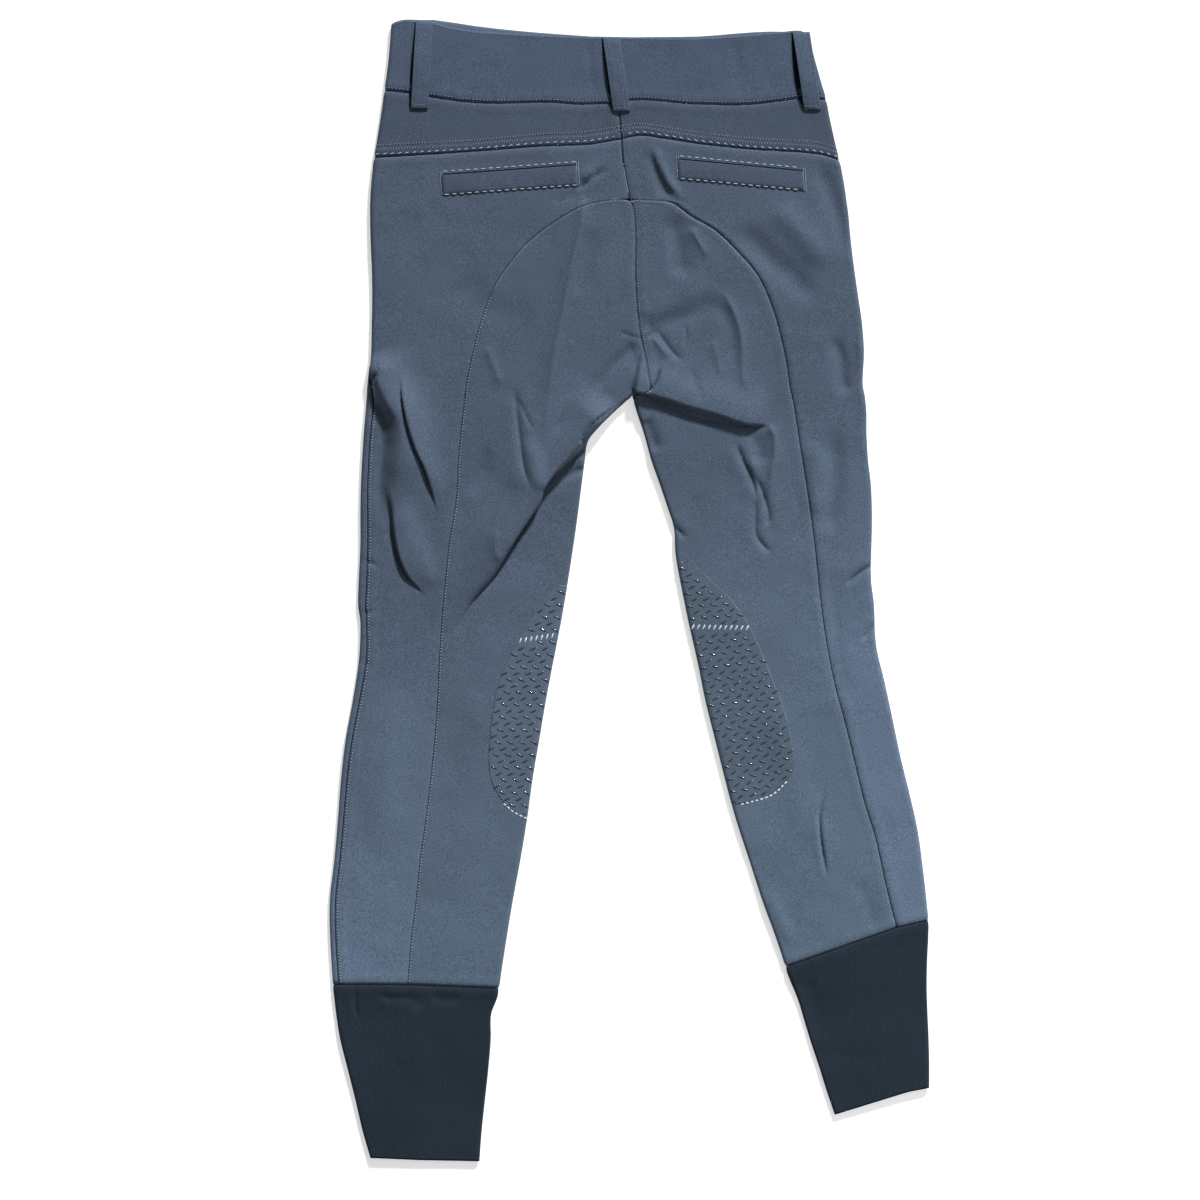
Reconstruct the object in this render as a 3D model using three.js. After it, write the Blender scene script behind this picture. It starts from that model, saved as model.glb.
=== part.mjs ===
// Riding breeches laid flat on a surface, back side up. Millimetres.
// X runs to the right as seen from above with the waist at the top, Y runs
// towards the waist and Z up. "down" is the distance below the highest point
// of the waist edge. The upper layer is the back of the garment, the lower
// layer its front, and the cloth rolls over from one to the other at the edges.
import * as THREE from 'three';

// Driving sizes
const LENGTH = 970;          // waist edge to the lowest cuff edge
const CLOTH = 1.2;           // wall of the stretch twill
const BAND = 2.0;            // wall of the doubled waistband
const KNIT = 1.2;            // wall of the knitted cuffs
const SEAM_GAP = 0.3;        // between two pieces at a seam
const LAY_GAP = 0.5;         // between a panel and what lies on it
const LEAST_RISE = 2.5;      // lowest middle line of the upper layer
const EDGE_SHAPE = 1.4;      // width of a rolled edge against its height
const EDGE_REACH = 3.2;      // where the upper layer's height counts for the roll

// Colours of the materials
const TWILL = 0x4d5b6e;
const TWILL_BAND = 0x4b586b;
const KNIT_DARK = 0x263642;

// Half sections of the garment, from the waist edge to the cuff seam. outer is
// the side edge, seam the curved seam between the hip panel and the seat
// panel, inner the centre-back seam and, below the crotch, the inner edge of
// the leg. out is how far the side seam lies past the side edge, on top where
// positive, tuck how far the inseam lies past the inner edge, underneath.
const SECTION = ['outerX', 'outerDown', 'seamX', 'seamDown', 'innerX', 'innerDown', 'out', 'tuck'];
const LEFT_SECTIONS = named(SECTION, [
  [-202.7, 5.5, null, null, -16.6, 14.7, -12, 0],
  [-204.6, 31, null, null, -12.7, 42.1, -12, 0],
  [-208.2, 59.9, null, null, -8.9, 70.1, -12, 0],
  [-212.1, 87.1, null, null, -8.5, 85.4, -11, 0],
  [-216.8, 116.9, null, null, -7.2, 101.2, -10, 0],
  [-218.9, 133, null, null, -5.5, 123.7, -10, 0],
  [-220.1, 149.2, -0.4, 152.6, -0.4, 152.6, -10, 0],
  [-220.4, 157.7, -20, 153.4, 2.1, 156.8, -10, 0],
  [-220.4, 167, -40.4, 158.5, 3.8, 165.3, -10, 0],
  [-220.2, 179.8, -62.5, 170.9, 4.8, 177.2, -10, 0],
  [-219.7, 195.1, -84.6, 187.4, 5.1, 192.5, -10, 0],
  [-218.9, 213.8, -101.6, 206.6, 4.8, 210.4, -9, 0],
  [-218.5, 234.2, -115.2, 227.4, 5.4, 230.8, -8, 0],
  [-218.8, 258, -126.7, 257.1, 8.1, 261.4, -6, 0],
  [-219.5, 283.5, -133.5, 284.3, 13.6, 288.6, -3, 0],
  [-222.6, 309, -138.6, 309, 18.3, 312.4, 4, 0],
  [-223.4, 320.9, -140.1, 321.7, 2.1, 319.6, 6, 0],
  [-224.2, 332.8, -141.5, 333.6, -13.2, 332.8, 6.5, 5],
  [-225.4, 346.4, -143, 346.4, -27.2, 347.2, 6.5, 10],
  [-226.3, 359.1, -144.3, 359.1, -35.7, 359.1, 6, 14],
  [-227.5, 377.8, -145.8, 377.8, -38.4, 377.8, 6, 18],
  [-228.4, 399.1, -146.6, 399.1, -41.2, 399.1, 6, 22],
  [-228.7, 420.3, -149.2, 420.3, -43.9, 420.3, 6.5, 25],
  [-228.7, 445.8, -153.4, 445.8, -47.5, 445.8, 6.5, 28],
  [-230.1, 475.6, -156.4, 475.6, -52.1, 475.6, 7, 30],
  [-230.6, 496.8, -158.5, 496.8, -55.7, 496.8, 6.5, 31],
  [-228.7, 513.8, -159.8, 513.8, -58.7, 513.8, 5.5, 32],
  [-229.9, 543.6, -161.8, 543.6, -64.5, 543.6, 6.5, 33],
  [-235, 577.6, -163.2, 577.6, -71, 577.6, 6, 34],
  [-241.2, 611.6, -165.7, 611.6, -76.7, 611.6, 6, 34],
  [-245.2, 645.6, -169.2, 645.6, -82.5, 645.6, 5.5, 33],
  [-247.8, 679.6, -173.3, 679.6, -87.1, 679.6, 5, 31],
  [-250.8, 713.6, -178.1, 713.6, -92.7, 713.6, 5, 29],
  [-254.6, 747.6, -181.5, 747.6, -99, 747.6, 5, 27],
  [-254.3, 781.6, -185.7, 781.6, -104.6, 781.6, 5, 25],
  [-252, 819, -188.7, 819.4, -110.9, 822.4, 5, 23],
]);
const RIGHT_SECTIONS = named(SECTION, [
  [152.2, 13.2, null, null, -16.6, 14.7, -12, 0],
  [157.3, 32.7, null, null, -12.7, 42.1, -12, 0],
  [167, 67.6, null, null, -8.9, 70.1, -12, 0],
  [172.1, 92.2, null, null, -8.5, 85.4, -12, 0],
  [178.1, 119, null, null, -7.2, 101.2, -12, 0],
  [180.6, 129.6, null, null, -5.5, 123.7, -12, 0],
  [183.2, 144.1, -0.4, 152.6, -0.4, 152.6, -12, 0],
  [184.7, 155.1, 17.4, 152.8, 2.1, 156.8, -12, 0],
  [186.2, 166.2, 36.1, 155.1, 3.8, 165.3, -12, 0],
  [187.4, 179.8, 53.1, 166.9, 4.8, 177.2, -12, 0],
  [189.1, 196.8, 73.5, 178.9, 5.1, 192.5, -12, 0],
  [191.4, 214.6, 93.9, 198.5, 4.8, 210.4, -12, 0],
  [194.2, 234.2, 110.9, 219.7, 5.4, 230.8, -12, 0],
  [197.6, 258, 123.7, 250.3, 8.1, 261.4, -12, 0],
  [199.2, 282.6, 132.2, 284.3, 13.6, 288.6, -12, 0],
  [198.1, 307.3, 136.4, 310.7, 18.3, 312.4, -12, 0],
  [200, 320, 139, 322.6, 2.1, 319.6, -12, 0],
  [201.3, 332.8, 140.9, 333.6, 6.2, 332.8, -12, 5],
  [201.5, 352.3, 143.7, 352.3, 12.5, 352.3, -12, 11],
  [202.7, 373.6, 147.1, 373.6, 18.3, 373.6, -12, 16],
  [205, 393.1, 150.2, 393.1, 25.2, 393.1, -12, 20],
  [206, 414.4, 153.4, 414.4, 32.4, 414.4, -12, 24],
  [206, 433.1, 156, 433.1, 37.8, 432.2, -12, 27],
  [205.5, 451.8, 158.3, 452.6, 39.1, 454.3, -12, 29],
  [205.3, 475.6, 160.9, 478.1, 44.2, 482.4, -12, 31],
  [207.8, 496.8, 163.6, 501.1, 49.7, 509.6, -12, 32],
  [209.5, 530.8, 168.7, 535.1, 58.2, 547.8, -11, 33],
  [216.3, 560.6, 174.9, 565.3, 64.2, 577.6, -11, 34],
  [223.1, 592, 183.4, 597.1, 72.7, 611.6, -10, 34],
  [229.9, 624.3, 191.3, 629.4, 81.2, 645.6, -10, 33],
  [237.6, 655.8, 199.2, 662.2, 90.5, 679.6, -9, 31],
  [244.8, 688.1, 209.1, 694.5, 101.6, 713.6, -9, 29],
  [249.5, 723.8, 216.9, 729.6, 112.6, 747.6, -8, 27],
  [252, 745.9, 222.4, 752.7, 122.6, 774.8, -8, 25],
  [253.7, 764.2, 227, 770.5, 132.6, 804.1, -8, 23],
]);

// Sections of the cuffs, from the cuff seam to the lower edge
const LEFT_CUFF = named(SECTION, [
  [-252, 819, -188.7, 819.4, -110.9, 822.4, 5, 23],
  [-250.9, 830.9, -188.5, 831.2, -112.8, 831.7, 5, 22],
  [-249.1, 846.2, -189.8, 846, -117.6, 845.3, 5, 20],
  [-245.7, 866.6, -188.1, 866.6, -117.9, 866.6, 5, 20],
  [-239.3, 892.1, -185.5, 892.1, -120, 892.1, 5, 20],
  [-232.9, 917.6, -183.3, 917.6, -122.8, 917.6, 5, 20],
  [-227, 943.1, -181.3, 943.1, -125.5, 943.1, 5, 20],
  [-220.2, 966.5, -178.4, 968.4, -127.5, 969.4, 5, 20],
]);
const RIGHT_CUFF = named(SECTION, [
  [253.7, 764.2, 227, 770.5, 132.6, 804.1, -8, 23],
  [253.9, 777.3, 227.6, 783, 135.6, 813.9, -8, 22],
  [252.9, 798.6, 228.3, 805, 143.2, 832.6, -8, 20],
  [252.5, 819.8, 229.2, 826.5, 148.3, 849.6, -8, 20],
  [253, 839.4, 231, 846, 154.3, 869.1, -8, 20],
  [254, 862.3, 233, 868.5, 161.1, 889.5, -8, 20],
  [254.6, 885.3, 235, 890.5, 167.5, 909.9, -8, 20],
  [254.6, 907, 236.5, 910.5, 174.3, 929.9, -8, 20],
]);

// Rows of the tables above at which a piece begins or ends
const ROW_WAIST = 0;
const ROW_BAND_SEAM = 2;
const ROW_YOKE_SEAM = 4;
const ROW_SEAT_TIP = 6;
const ROW_BACK_SEAM_END = 15;
const ROW_CROTCH = 16;
const SEAT_TIP_START = 0.14;     // part of a row where the tip of a seat panel begins

// Shapes of the seams that are not straight across, as X and down
const CURVE = ['x', 'down'];
const WAIST_EDGE = named(CURVE, [
  [-202.7, 5.5], [-199.3, 2.1], [-190.8, 0], [-169.6, 1.3], [-152.6, 6], [-127.1, 9.8],
  [-67.6, 13.2], [-16.6, 14.7], [59.9, 15.3], [102.4, 12.8], [132.2, 10.2], [144.9, 9.5],
  [152.2, 13.2],
]);
const BAND_SEAM = named(CURVE, [
  [-208.2, 59.9], [-184.9, 62.5], [-167, 65.9], [-135.6, 70.1], [-110.1, 71], [-67.6, 70.1],
  [-42.1, 71.8], [-8.9, 70.1], [4.7, 68], [25.9, 68.9], [51.4, 71.4], [102.4, 71.8],
  [132.2, 68.4], [147.5, 66.3], [167, 67.6],
]);
const YOKE_SEAM = named(CURVE, [
  [-216.8, 116.9], [-178.1, 114.8], [-127.1, 111.4], [-76.1, 107.5], [-33.6, 105.8],
  [-7.2, 101.2], [8.9, 98.2], [25.9, 100.3], [59.9, 105.4], [102.4, 109.7], [144.9, 112.2],
  [161.9, 114.2], [178.1, 119],
]);
const BOWED_ROWS = [
  { row: ROW_WAIST, curve: WAIST_EDGE },
  { row: ROW_BAND_SEAM, curve: BAND_SEAM },
  { row: ROW_YOKE_SEAM, curve: YOKE_SEAM },
];
const BOW_REACH = 2;             // rows over which such a shape dies out

// Centre-front seam of the lower layer
const FRONT_SEAM_X = { waist: -12, crotch: 2.1 };

// Height of the upper layer's middle line over the surface
const REST_HEIGHT = named(['down', 'height'], [
  [0, 4.6], [70, 4.8], [160, 5.2], [300, 5.4], [420, 4.8], [600, 4.4], [780, 4.2], [830, 3.6],
  [970, 3.4],
]);

// Shape of every fold: the share of its path over which it dies out at each
// end, and how many half widths away it is still felt. A lap drops over
// LAP_DROP and has a hollow beside its foot.
const FOLD_TAPER = 0.25;
const FOLD_REACH = 3;
const LAP_DROP = 4;
const LAP_HOLLOW = { away: 8, width: 9, share: 0.3 };
const LEAST_SLACK = 0.5;         // how softly the cloth meets its least height
const THICK_RISE = 1.5;          // rise of that height for each mm of thicker wall

// Largest folds. A ridge stands up, a trough goes down by height, with the
// given half width; a lap stands up on the left of its path and drops on the
// right, as cloth that lies over cloth.
const FOLD = ['kind', 'height', 'width', 'path'];
const FOLDS = named(FOLD, [
  ['lap', 7.5, 26, [[-110, 462], [-101.6, 433], [-93, 420], [-82, 406], [-74, 391], [-59, 376],
    [-46, 367], [-34, 356]]],
  ['lap', 6, 24, [[5, 312], [20, 316], [34, 319], [68, 332], [102, 341], [118, 344]]],
  ['trough', 1.9, 9, [[-195, 300], [-186, 344], [-175, 378], [-164, 408], [-161, 424]]],
  ['trough', 1.6, 8, [[-206, 392], [-197, 420], [-192, 450], [-177, 482]]],
  ['ridge', 2.6, 12, [[-213, 296], [-203, 324], [-189, 346], [-184, 368]]],
  ['trough', 1.8, 8, [[-216, 330], [-205, 350], [-200, 380]]],
  ['ridge', 2, 15, [[-178, 400], [-176, 440], [-165, 480]]],
  ['trough', 1.6, 9, [[-98, 308], [-94, 344], [-92, 362], [-84, 400]]],
  ['ridge', 2.2, 16, [[-40, 146], [-42, 182], [-51, 216], [-59, 276], [-69, 312], [-73, 380]]],
  ['trough', 2, 10, [[12, 268], [-15, 293], [-34, 318], [-55, 344], [-68, 358]]],
  ['ridge', 1.7, 8, [[17, 108], [21, 122], [31, 142], [45, 156]]],
  ['trough', 1.8, 9, [[88, 172], [115, 195], [141, 225], [168, 246]]],
  ['ridge', 1.6, 12, [[98, 166], [127, 190], [152, 216], [174, 234]]],
  ['trough', 1.5, 8, [[145, 122], [170, 165], [181, 206]]],
  ['ridge', 1.8, 14, [[6, 258], [43, 242], [80, 214]]],
  ['trough', 1.6, 9, [[8, 276], [43, 258], [78, 231]]],
  ['trough', 1.5, 8, [[94, 268], [97, 306], [101, 324]]],
  ['trough', 2.1, 9, [[88, 354], [102, 390], [108, 408], [106, 433], [112, 456]]],
  ['ridge', 2.4, 13, [[114, 340], [122, 372], [124, 404]]],
  ['trough', 1.6, 9, [[176, 350], [172, 408], [170, 440]]],
  ['ridge', 1.5, 14, [[60, 390], [70, 430], [84, 480]]],
  ['trough', 1.6, 8, [[38, 430], [48, 441], [60, 448]]],
  ['trough', 1.5, 8, [[201, 463], [186, 479], [176, 486]]],
  ['trough', 1.3, 9, [[170, 648], [161, 678], [166, 718], [178, 746]]],
  ['ridge', 1.4, 16, [[-205, 560], [-208, 640], [-214, 720]]],
  ['ridge', 1.3, 16, [[-128, 560], [-130, 640], [-140, 740]]],
  ['ridge', 1.4, 16, [[120, 560], [138, 640], [160, 720]]],
]);

// Pocket welts on the hip panels: corners of the strip as X and down
const WELT_WALL = 1.0;
const WELT_LEAN = 1;             // how far the foot lies right of the top
const WELT = ['name', 'leftX', 'leftDown', 'rightX', 'rightDown', 'depth'];
const WELTS = named(WELT, [
  ['welt_left', -160, 132.5, -44.5, 124, 17],
  ['welt_right', 40.5, 119, 148, 129.2, 16.5],
]);

// Belt loops on the waistband: the middle line's ends, and how far the left
// and right sides stand up from the band halfway down
const LOOP_WALL = 1.5;
const LOOP_WIDTH = 14.5;
const LOOP = ['name', 'topX', 'topDown', 'footX', 'footDown', 'leftBow', 'rightBow'];
const LOOPS = named(LOOP, [
  ['belt_loop_left', -174, 2.6, -178.4, 75.5, 2.6, 1.4],
  ['belt_loop_centre', -15.5, 15.6, -6.8, 77.6, 2.2, 1.8],
  ['belt_loop_right', 145.5, 10.8, 155.2, 76, 3.2, 1.6],
]);

// Where the columns round an edge lie, as the way along the cloth from that
// edge: the last three trace the turn of the cloth
const SIDE_COLUMNS = [-3.2, -0.2, 3.2, 6.5];
const INNER_COLUMNS = [6.5, 3.2, 0, -3.2];
const CLOSEST_COLUMNS = 1.5;     // least way from one such column to the next
const SEAT_OPEN_PART = 0.45;     // share of a seat row above the crotch that is close
const SEAT_OPEN_ROWS = { from: 3, over: 6 };  // rows below the seat tip where that changes

const SEAT_FAR_PART = 0.9;       // no such column lies past this share of a seat row
const TUCK_WIDTH = 3;            // lower layer's last column but one, from its inseam
const CENTRE_COLUMNS = [8, 4, 0];  // the same from the centre-front seam

// Rows are counted along the tables, and these are parts of one row: over
// which a direction is read, two places count as one, and a row is kept off
// a piece's end
const ROW_PART = 0.1;
const SAME_ROW = 0.01;
const CLEAR_ROW = 0.02;
const SAME_PLACE = 1e-6;
const SLOPE_STEP = 1.5;          // over which the slope of the cloth is read
const LEAST_SINE = 0.12;         // of the angle at which a row meets the curved seam

// Numbers of steps
const ROWS_PER_SECTION = { band: 2, yoke: 2, panel: 1, cuff: 1 };
const LONG_SECTION = 36;         // a section longer than this is halved
const HIP_STEPS = 7;
const SEAT_STEPS = 7;
const FRONT_STEPS = 2;
const FOLD_SAMPLES = 20;
const WELT_STEPS = [3, 12];      // down, across
const LOOP_STEPS = [12, 2];

const body = new THREE.Group();
body.name = 'breeches';

function named(columns, rows) {
  return rows.map((row) => Object.fromEntries(columns.map((name, i) => [name, row[i]])));
}

function lerp(a, b, f) {
  return a + (b - a) * f;
}

function clamp(value, low, high) {
  return Math.min(high, Math.max(low, value));
}

function smooth(f) {
  const g = clamp(f, 0, 1);
  return g * g * (3 - 2 * g);
}

// Value of a column at a fractional row, smooth inside each stretch of rows
// and with a corner at the rows named in corners
function column(table, key, row, corners = []) {
  const last = table.length - 1;
  const at = clamp(row, 0, last);
  const i = Math.min(Math.floor(at), last - 1);
  const f = at - i;
  const stops = [0, ...corners, last];
  const low = Math.max(...stops.filter((stop) => stop <= i));
  const high = Math.min(...stops.filter((stop) => stop > i));
  const p0 = table[Math.max(i - 1, low)][key];
  const p1 = table[i][key];
  const p2 = table[i + 1][key];
  const p3 = table[Math.min(i + 2, high)][key];
  const m1 = (p2 - p0) / (i > low ? 2 : 1);
  const m2 = (p3 - p1) / (i + 2 <= high ? 2 : 1);
  const f2 = f * f;
  const f3 = f2 * f;
  return (2 * f3 - 3 * f2 + 1) * p1 + (f3 - 2 * f2 + f) * m1
    + (3 * f2 - 2 * f3) * p2 + (f3 - f2) * m2;
}

// Value along a curve given by X
function alongCurve(curve, x, key = 'down', axis = 'x') {
  const last = curve.length - 1;
  let i = 0;
  while (i < last - 1 && x > curve[i + 1][axis]) i += 1;
  const f = (x - curve[i][axis]) / (curve[i + 1][axis] - curve[i][axis]);
  return column(curve, key, clamp(i + f, 0, last));
}

function toY(down) {
  return LENGTH / 2 - down;
}

// Folds as sampled paths with their tapers
const creases = FOLDS.map((fold) => {
  const points = fold.path.map(([x, down]) => new THREE.Vector3(x, toY(down), 0));
  const curve = new THREE.CatmullRomCurve3(points, false, 'centripetal');
  return { ...fold, samples: curve.getPoints(FOLD_SAMPLES) };
});

// Signed distance from a fold's path, left of it negative, and the part of
// the path that is nearest
function nearest(samples, x, y) {
  let best = { distance: Infinity, signed: 0, part: 0 };
  for (let i = 0; i < samples.length - 1; i += 1) {
    const a = samples[i];
    const b = samples[i + 1];
    const dx = b.x - a.x;
    const dy = b.y - a.y;
    const f = clamp(((x - a.x) * dx + (y - a.y) * dy) / (dx * dx + dy * dy), 0, 1);
    const rx = x - lerp(a.x, b.x, f);
    const ry = y - lerp(a.y, b.y, f);
    const distance = Math.hypot(rx, ry);
    if (distance < best.distance) {
      const side = dx * ry - dy * rx;
      best = {
        distance, signed: side > 0 ? -distance : distance, part: (i + f) / (samples.length - 1),
      };
    }
  }
  return best;
}

function foldHeight(fold, x, y) {
  const { distance, signed, part } = nearest(fold.samples, x, y);
  if (distance > FOLD_REACH * fold.width) return 0;
  const taper = smooth(part / FOLD_TAPER) * smooth((1 - part) / FOLD_TAPER);
  const bell = Math.exp(-((distance / fold.width) ** 2));
  if (fold.kind === 'ridge') return fold.height * taper * bell;
  if (fold.kind === 'trough') return -fold.height * taper * bell;
  const over = 0.5 - 0.5 * Math.tanh(signed / LAP_DROP);
  const under = Math.exp(-(((signed - LAP_HOLLOW.away) / LAP_HOLLOW.width) ** 2));
  return taper * fold.height * (bell * over - LAP_HOLLOW.share * under);
}

// Height of the upper layer's middle line
function upperHeight(x, y, least) {
  const rest = alongCurve(REST_HEIGHT, LENGTH / 2 - y, 'height', 'down');
  const height = creases.reduce((sum, fold) => sum + foldHeight(fold, x, y), rest);
  return least + LEAST_SLACK * Math.log1p(Math.exp((height - least) / LEAST_SLACK));
}

function upperNormal(x, y, least) {
  const step = SLOPE_STEP;
  const dx = upperHeight(x + step, y, least) - upperHeight(x - step, y, least);
  const dy = upperHeight(x, y + step, least) - upperHeight(x, y - step, least);
  return new THREE.Vector3(-dx / (2 * step), -dy / (2 * step), 1).normalize();
}

// One half of the garment, or one cuff, with the shape of its sections
function makeHalf(sections, side, isCuff) {
  const corners = {
    outer: isCuff ? [] : [ROW_BAND_SEAM],
    seam: isCuff ? [] : [ROW_SEAT_TIP],
    inner: isCuff ? [] : [ROW_BAND_SEAM, ROW_BACK_SEAM_END, ROW_CROTCH],
  };
  const place = (which, row) => {
    const useInner = which === 'seam' && !isCuff && row < ROW_SEAT_TIP;
    const from = useInner ? 'inner' : which;
    return new THREE.Vector2(
      column(sections, `${from}X`, row, corners[from]),
      toY(column(sections, `${from}Down`, row, corners[from])),
    );
  };
  return { sections, side, isCuff, place, last: sections.length - 1 };
}

// Outward direction of an edge in the plane
function outward(half, which, row) {
  if (!half.isCuff && which === 'inner' && Math.abs(row - ROW_CROTCH) < SAME_ROW) {
    return new THREE.Vector2(0, -1);
  }
  const step = 2 * ROW_PART;
  const low = which === 'inner' && !half.isCuff ? ROW_CROTCH : 0;
  const a = half.place(which, Math.max(row - step, low));
  const b = half.place(which, Math.min(row + step, half.last));
  const along = b.sub(a).normalize();
  const away = new THREE.Vector2(-along.y, along.x);
  const wanted = which === 'outer' ? half.side : -half.side;
  return away.x * wanted < 0 ? away.negate() : away;
}

// Shift of a point of a row from the straight line, where a seam is bowed
function bow(half, row, x) {
  if (half.isCuff) return 0;
  return BOWED_ROWS.reduce((sum, { row: centre, curve }) => {
    const weight = Math.max(0, 1 - Math.abs(row - centre) / BOW_REACH);
    if (weight === 0) return sum;
    const a = half.place('outer', centre);
    const b = half.place('inner', centre);
    const here = half.place('outer', row);
    const there = half.place('inner', row);
    const f = clamp((x - here.x) / (there.x - here.x), 0, 1);
    const straight = lerp(a.y, b.y, f);
    return sum + weight * (toY(alongCurve(curve, lerp(a.x, b.x, f))) - straight);
  }, 0);
}

// Point of the middle line and its outward normal. edge is the side edge or
// the inner edge, q the way along the cloth from that edge, on top where
// positive and underneath where negative.
function onCloth(half, row, edge, q, wall) {
  const start = half.place(edge, row);
  const goal = half.place('seam', row);
  if (goal.distanceTo(start) < SAME_PLACE) goal.copy(half.place('outer', row));
  const inward = goal.clone().sub(start).normalize();
  const least = LEAST_RISE + THICK_RISE * (wall - CLOTH);
  const low = wall / 2;
  const probe = start.clone().addScaledVector(inward, EDGE_REACH);
  const high = upperHeight(probe.x, probe.y, least);
  const halfRise = (high - low) / 2;
  const reach = EDGE_SHAPE * halfRise;
  const quarter = rollLength(halfRise);
  const away = outward(half, edge, row);
  const roll = rollShare(half, edge, row);
  const angle = clamp(q / quarter, -1, 1) * Math.PI / 2;
  const past = Math.max(0, Math.abs(q) - quarter);
  const depth = wall / 2 + reach * (1 - Math.cos(angle)) + past;
  const spot = start.clone().addScaledVector(inward, lerp(Math.abs(q), depth, roll));
  spot.y += bow(half, row, spot.x);
  if (q < 0 && Math.abs(q) >= quarter) {
    return { p: new THREE.Vector3(spot.x, spot.y, low), n: new THREE.Vector3(0, 0, -1) };
  }
  const top = upperHeight(spot.x, spot.y, least);
  const topNormal = upperNormal(spot.x, spot.y, least);
  if (q >= quarter) return { p: new THREE.Vector3(spot.x, spot.y, top), n: topNormal };
  const turned = (low + high) / 2 + halfRise * Math.sin(angle);
  const round = new THREE.Vector3(
    away.x * Math.cos(angle) / reach, away.y * Math.cos(angle) / reach, Math.sin(angle) / halfRise,
  ).normalize();
  const n = topNormal.lerp(round, roll).normalize();
  return { p: new THREE.Vector3(spot.x, spot.y, lerp(top, turned, roll)), n };
}

function rollLength(halfRise) {
  return (Math.PI / 2) * halfRise * (1 + EDGE_SHAPE) / 2;
}

// How far the cloth has turned over at an edge: not at all along the
// centre-back seam, fully below the crotch
function rollShare(half, edge, row) {
  if (edge === 'outer' || half.isCuff) return 1;
  return smooth((row - ROW_BACK_SEAM_END - 0.5) / (ROW_CROTCH - ROW_BACK_SEAM_END - 0.5));
}

// Way along the cloth from an edge to the curved seam of that row
function toSeam(half, row, edge, wall) {
  const start = half.place(edge, row);
  const length = start.distanceTo(half.place('seam', row));
  if (rollShare(half, edge, row) < 1) return length;
  const probe = start.clone().addScaledVector(
    half.place('seam', row).sub(start).normalize(), EDGE_REACH,
  );
  const halfRise = (upperHeight(probe.x, probe.y, LEAST_RISE) - wall / 2) / 2;
  return length - wall / 2 - EDGE_SHAPE * halfRise + rollLength(halfRise);
}

// Half a seam gap, measured along a row that meets the curved seam aslant
function slantGap(half, row) {
  if (row <= ROW_SEAT_TIP) return SEAM_GAP / 2;
  const along = half.place('seam', row + ROW_PART).sub(half.place('seam', row)).normalize();
  const across = half.place('seam', row).sub(half.place('outer', row)).normalize();
  return SEAM_GAP / 2 / Math.max(LEAST_SINE, Math.abs(along.cross(across)));
}

// Steps between the given stops, the number for each stretch given
function steps(stops, counts) {
  const out = [stops[0]];
  counts.forEach((count, i) => {
    for (let k = 1; k <= count; k += 1) out.push(lerp(stops[i], stops[i + 1], k / count));
  });
  return out;
}

// Columns of each panel at a row, from the side seam inwards. gap is half the
// gap at its seams.
function hipColumns(half, row, wall, gap) {
  const start = column(half.sections, 'out', row) + gap;
  const end = toSeam(half, row, 'outer', wall) - (gap ? slantGap(half, row) : 0);
  const close = [start, ...SIDE_COLUMNS.map((q, k) => Math.max(q, start + CLOSEST_COLUMNS * (k + 1)))];
  return [...close, ...steps([close[close.length - 1], end], [HIP_STEPS]).slice(1)]
    .map((q) => onCloth(half, row, 'outer', q, wall));
}

function seatColumns(half, row, wall, gap) {
  const last = gap - column(half.sections, 'tuck', row);
  const end = toSeam(half, row, 'inner', wall) - (gap ? slantGap(half, row) : 0);
  const open = half.isCuff
    ? 0 : 1 - smooth((row - ROW_SEAT_TIP - SEAT_OPEN_ROWS.from) / SEAT_OPEN_ROWS.over);
  const wanted = [...INNER_COLUMNS, lerp(INNER_COLUMNS[INNER_COLUMNS.length - 1], last, 0.5), last];
  const close = wanted.map((q, k) => {
    const folded = Math.max(q, last + CLOSEST_COLUMNS * (wanted.length - 1 - k));
    const spread = lerp(end * SEAT_OPEN_PART, last, k / (wanted.length - 1));
    return lerp(Math.min(folded, end * SEAT_FAR_PART), spread, open);
  });
  return [...steps([end, close[0]], [SEAT_STEPS]), ...close.slice(1)]
    .map((q) => onCloth(half, row, 'inner', q, wall));
}

function frontColumns(half, row, wall, gap) {
  const start = column(half.sections, 'out', row) - gap;
  const tuck = column(half.sections, 'tuck', row);
  const side = [start, ...SIDE_COLUMNS.map((q, k) => Math.min(-q, start - CLOSEST_COLUMNS * (k + 1)))]
    .map((q) => onCloth(half, row, 'outer', q, wall));
  let inner;
  if (half.isCuff || row >= ROW_CROTCH - SAME_PLACE) {
    const near = -gap - tuck;
    const far = Math.min(near - TUCK_WIDTH, 2 * INNER_COLUMNS[INNER_COLUMNS.length - 1]);
    inner = steps([far, near], [2])
      .map((q) => onCloth(half, row, 'inner', q, wall));
  } else {
    const down = LENGTH / 2 - half.place('inner', row).y;
    const crotch = half.sections[ROW_CROTCH].innerDown;
    const x = lerp(FRONT_SEAM_X.waist, FRONT_SEAM_X.crotch, down / crotch) + half.side * gap;
    inner = CENTRE_COLUMNS.map((d) => ({
      p: new THREE.Vector3(x + half.side * d, toY(down), wall / 2), n: new THREE.Vector3(0, 0, -1),
    }));
  }
  const from = side[side.length - 1];
  const to = inner[0];
  const between = [];
  for (let k = 1; k < FRONT_STEPS; k += 1) {
    const f = k / FRONT_STEPS;
    const p = from.p.clone().lerp(to.p, f);
    p.y += bow(half, row, p.x) * Math.sin(Math.PI * f);
    between.push({ p, n: new THREE.Vector3(0, 0, -1) });
  }
  return [...side, ...between, ...inner];
}

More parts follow.
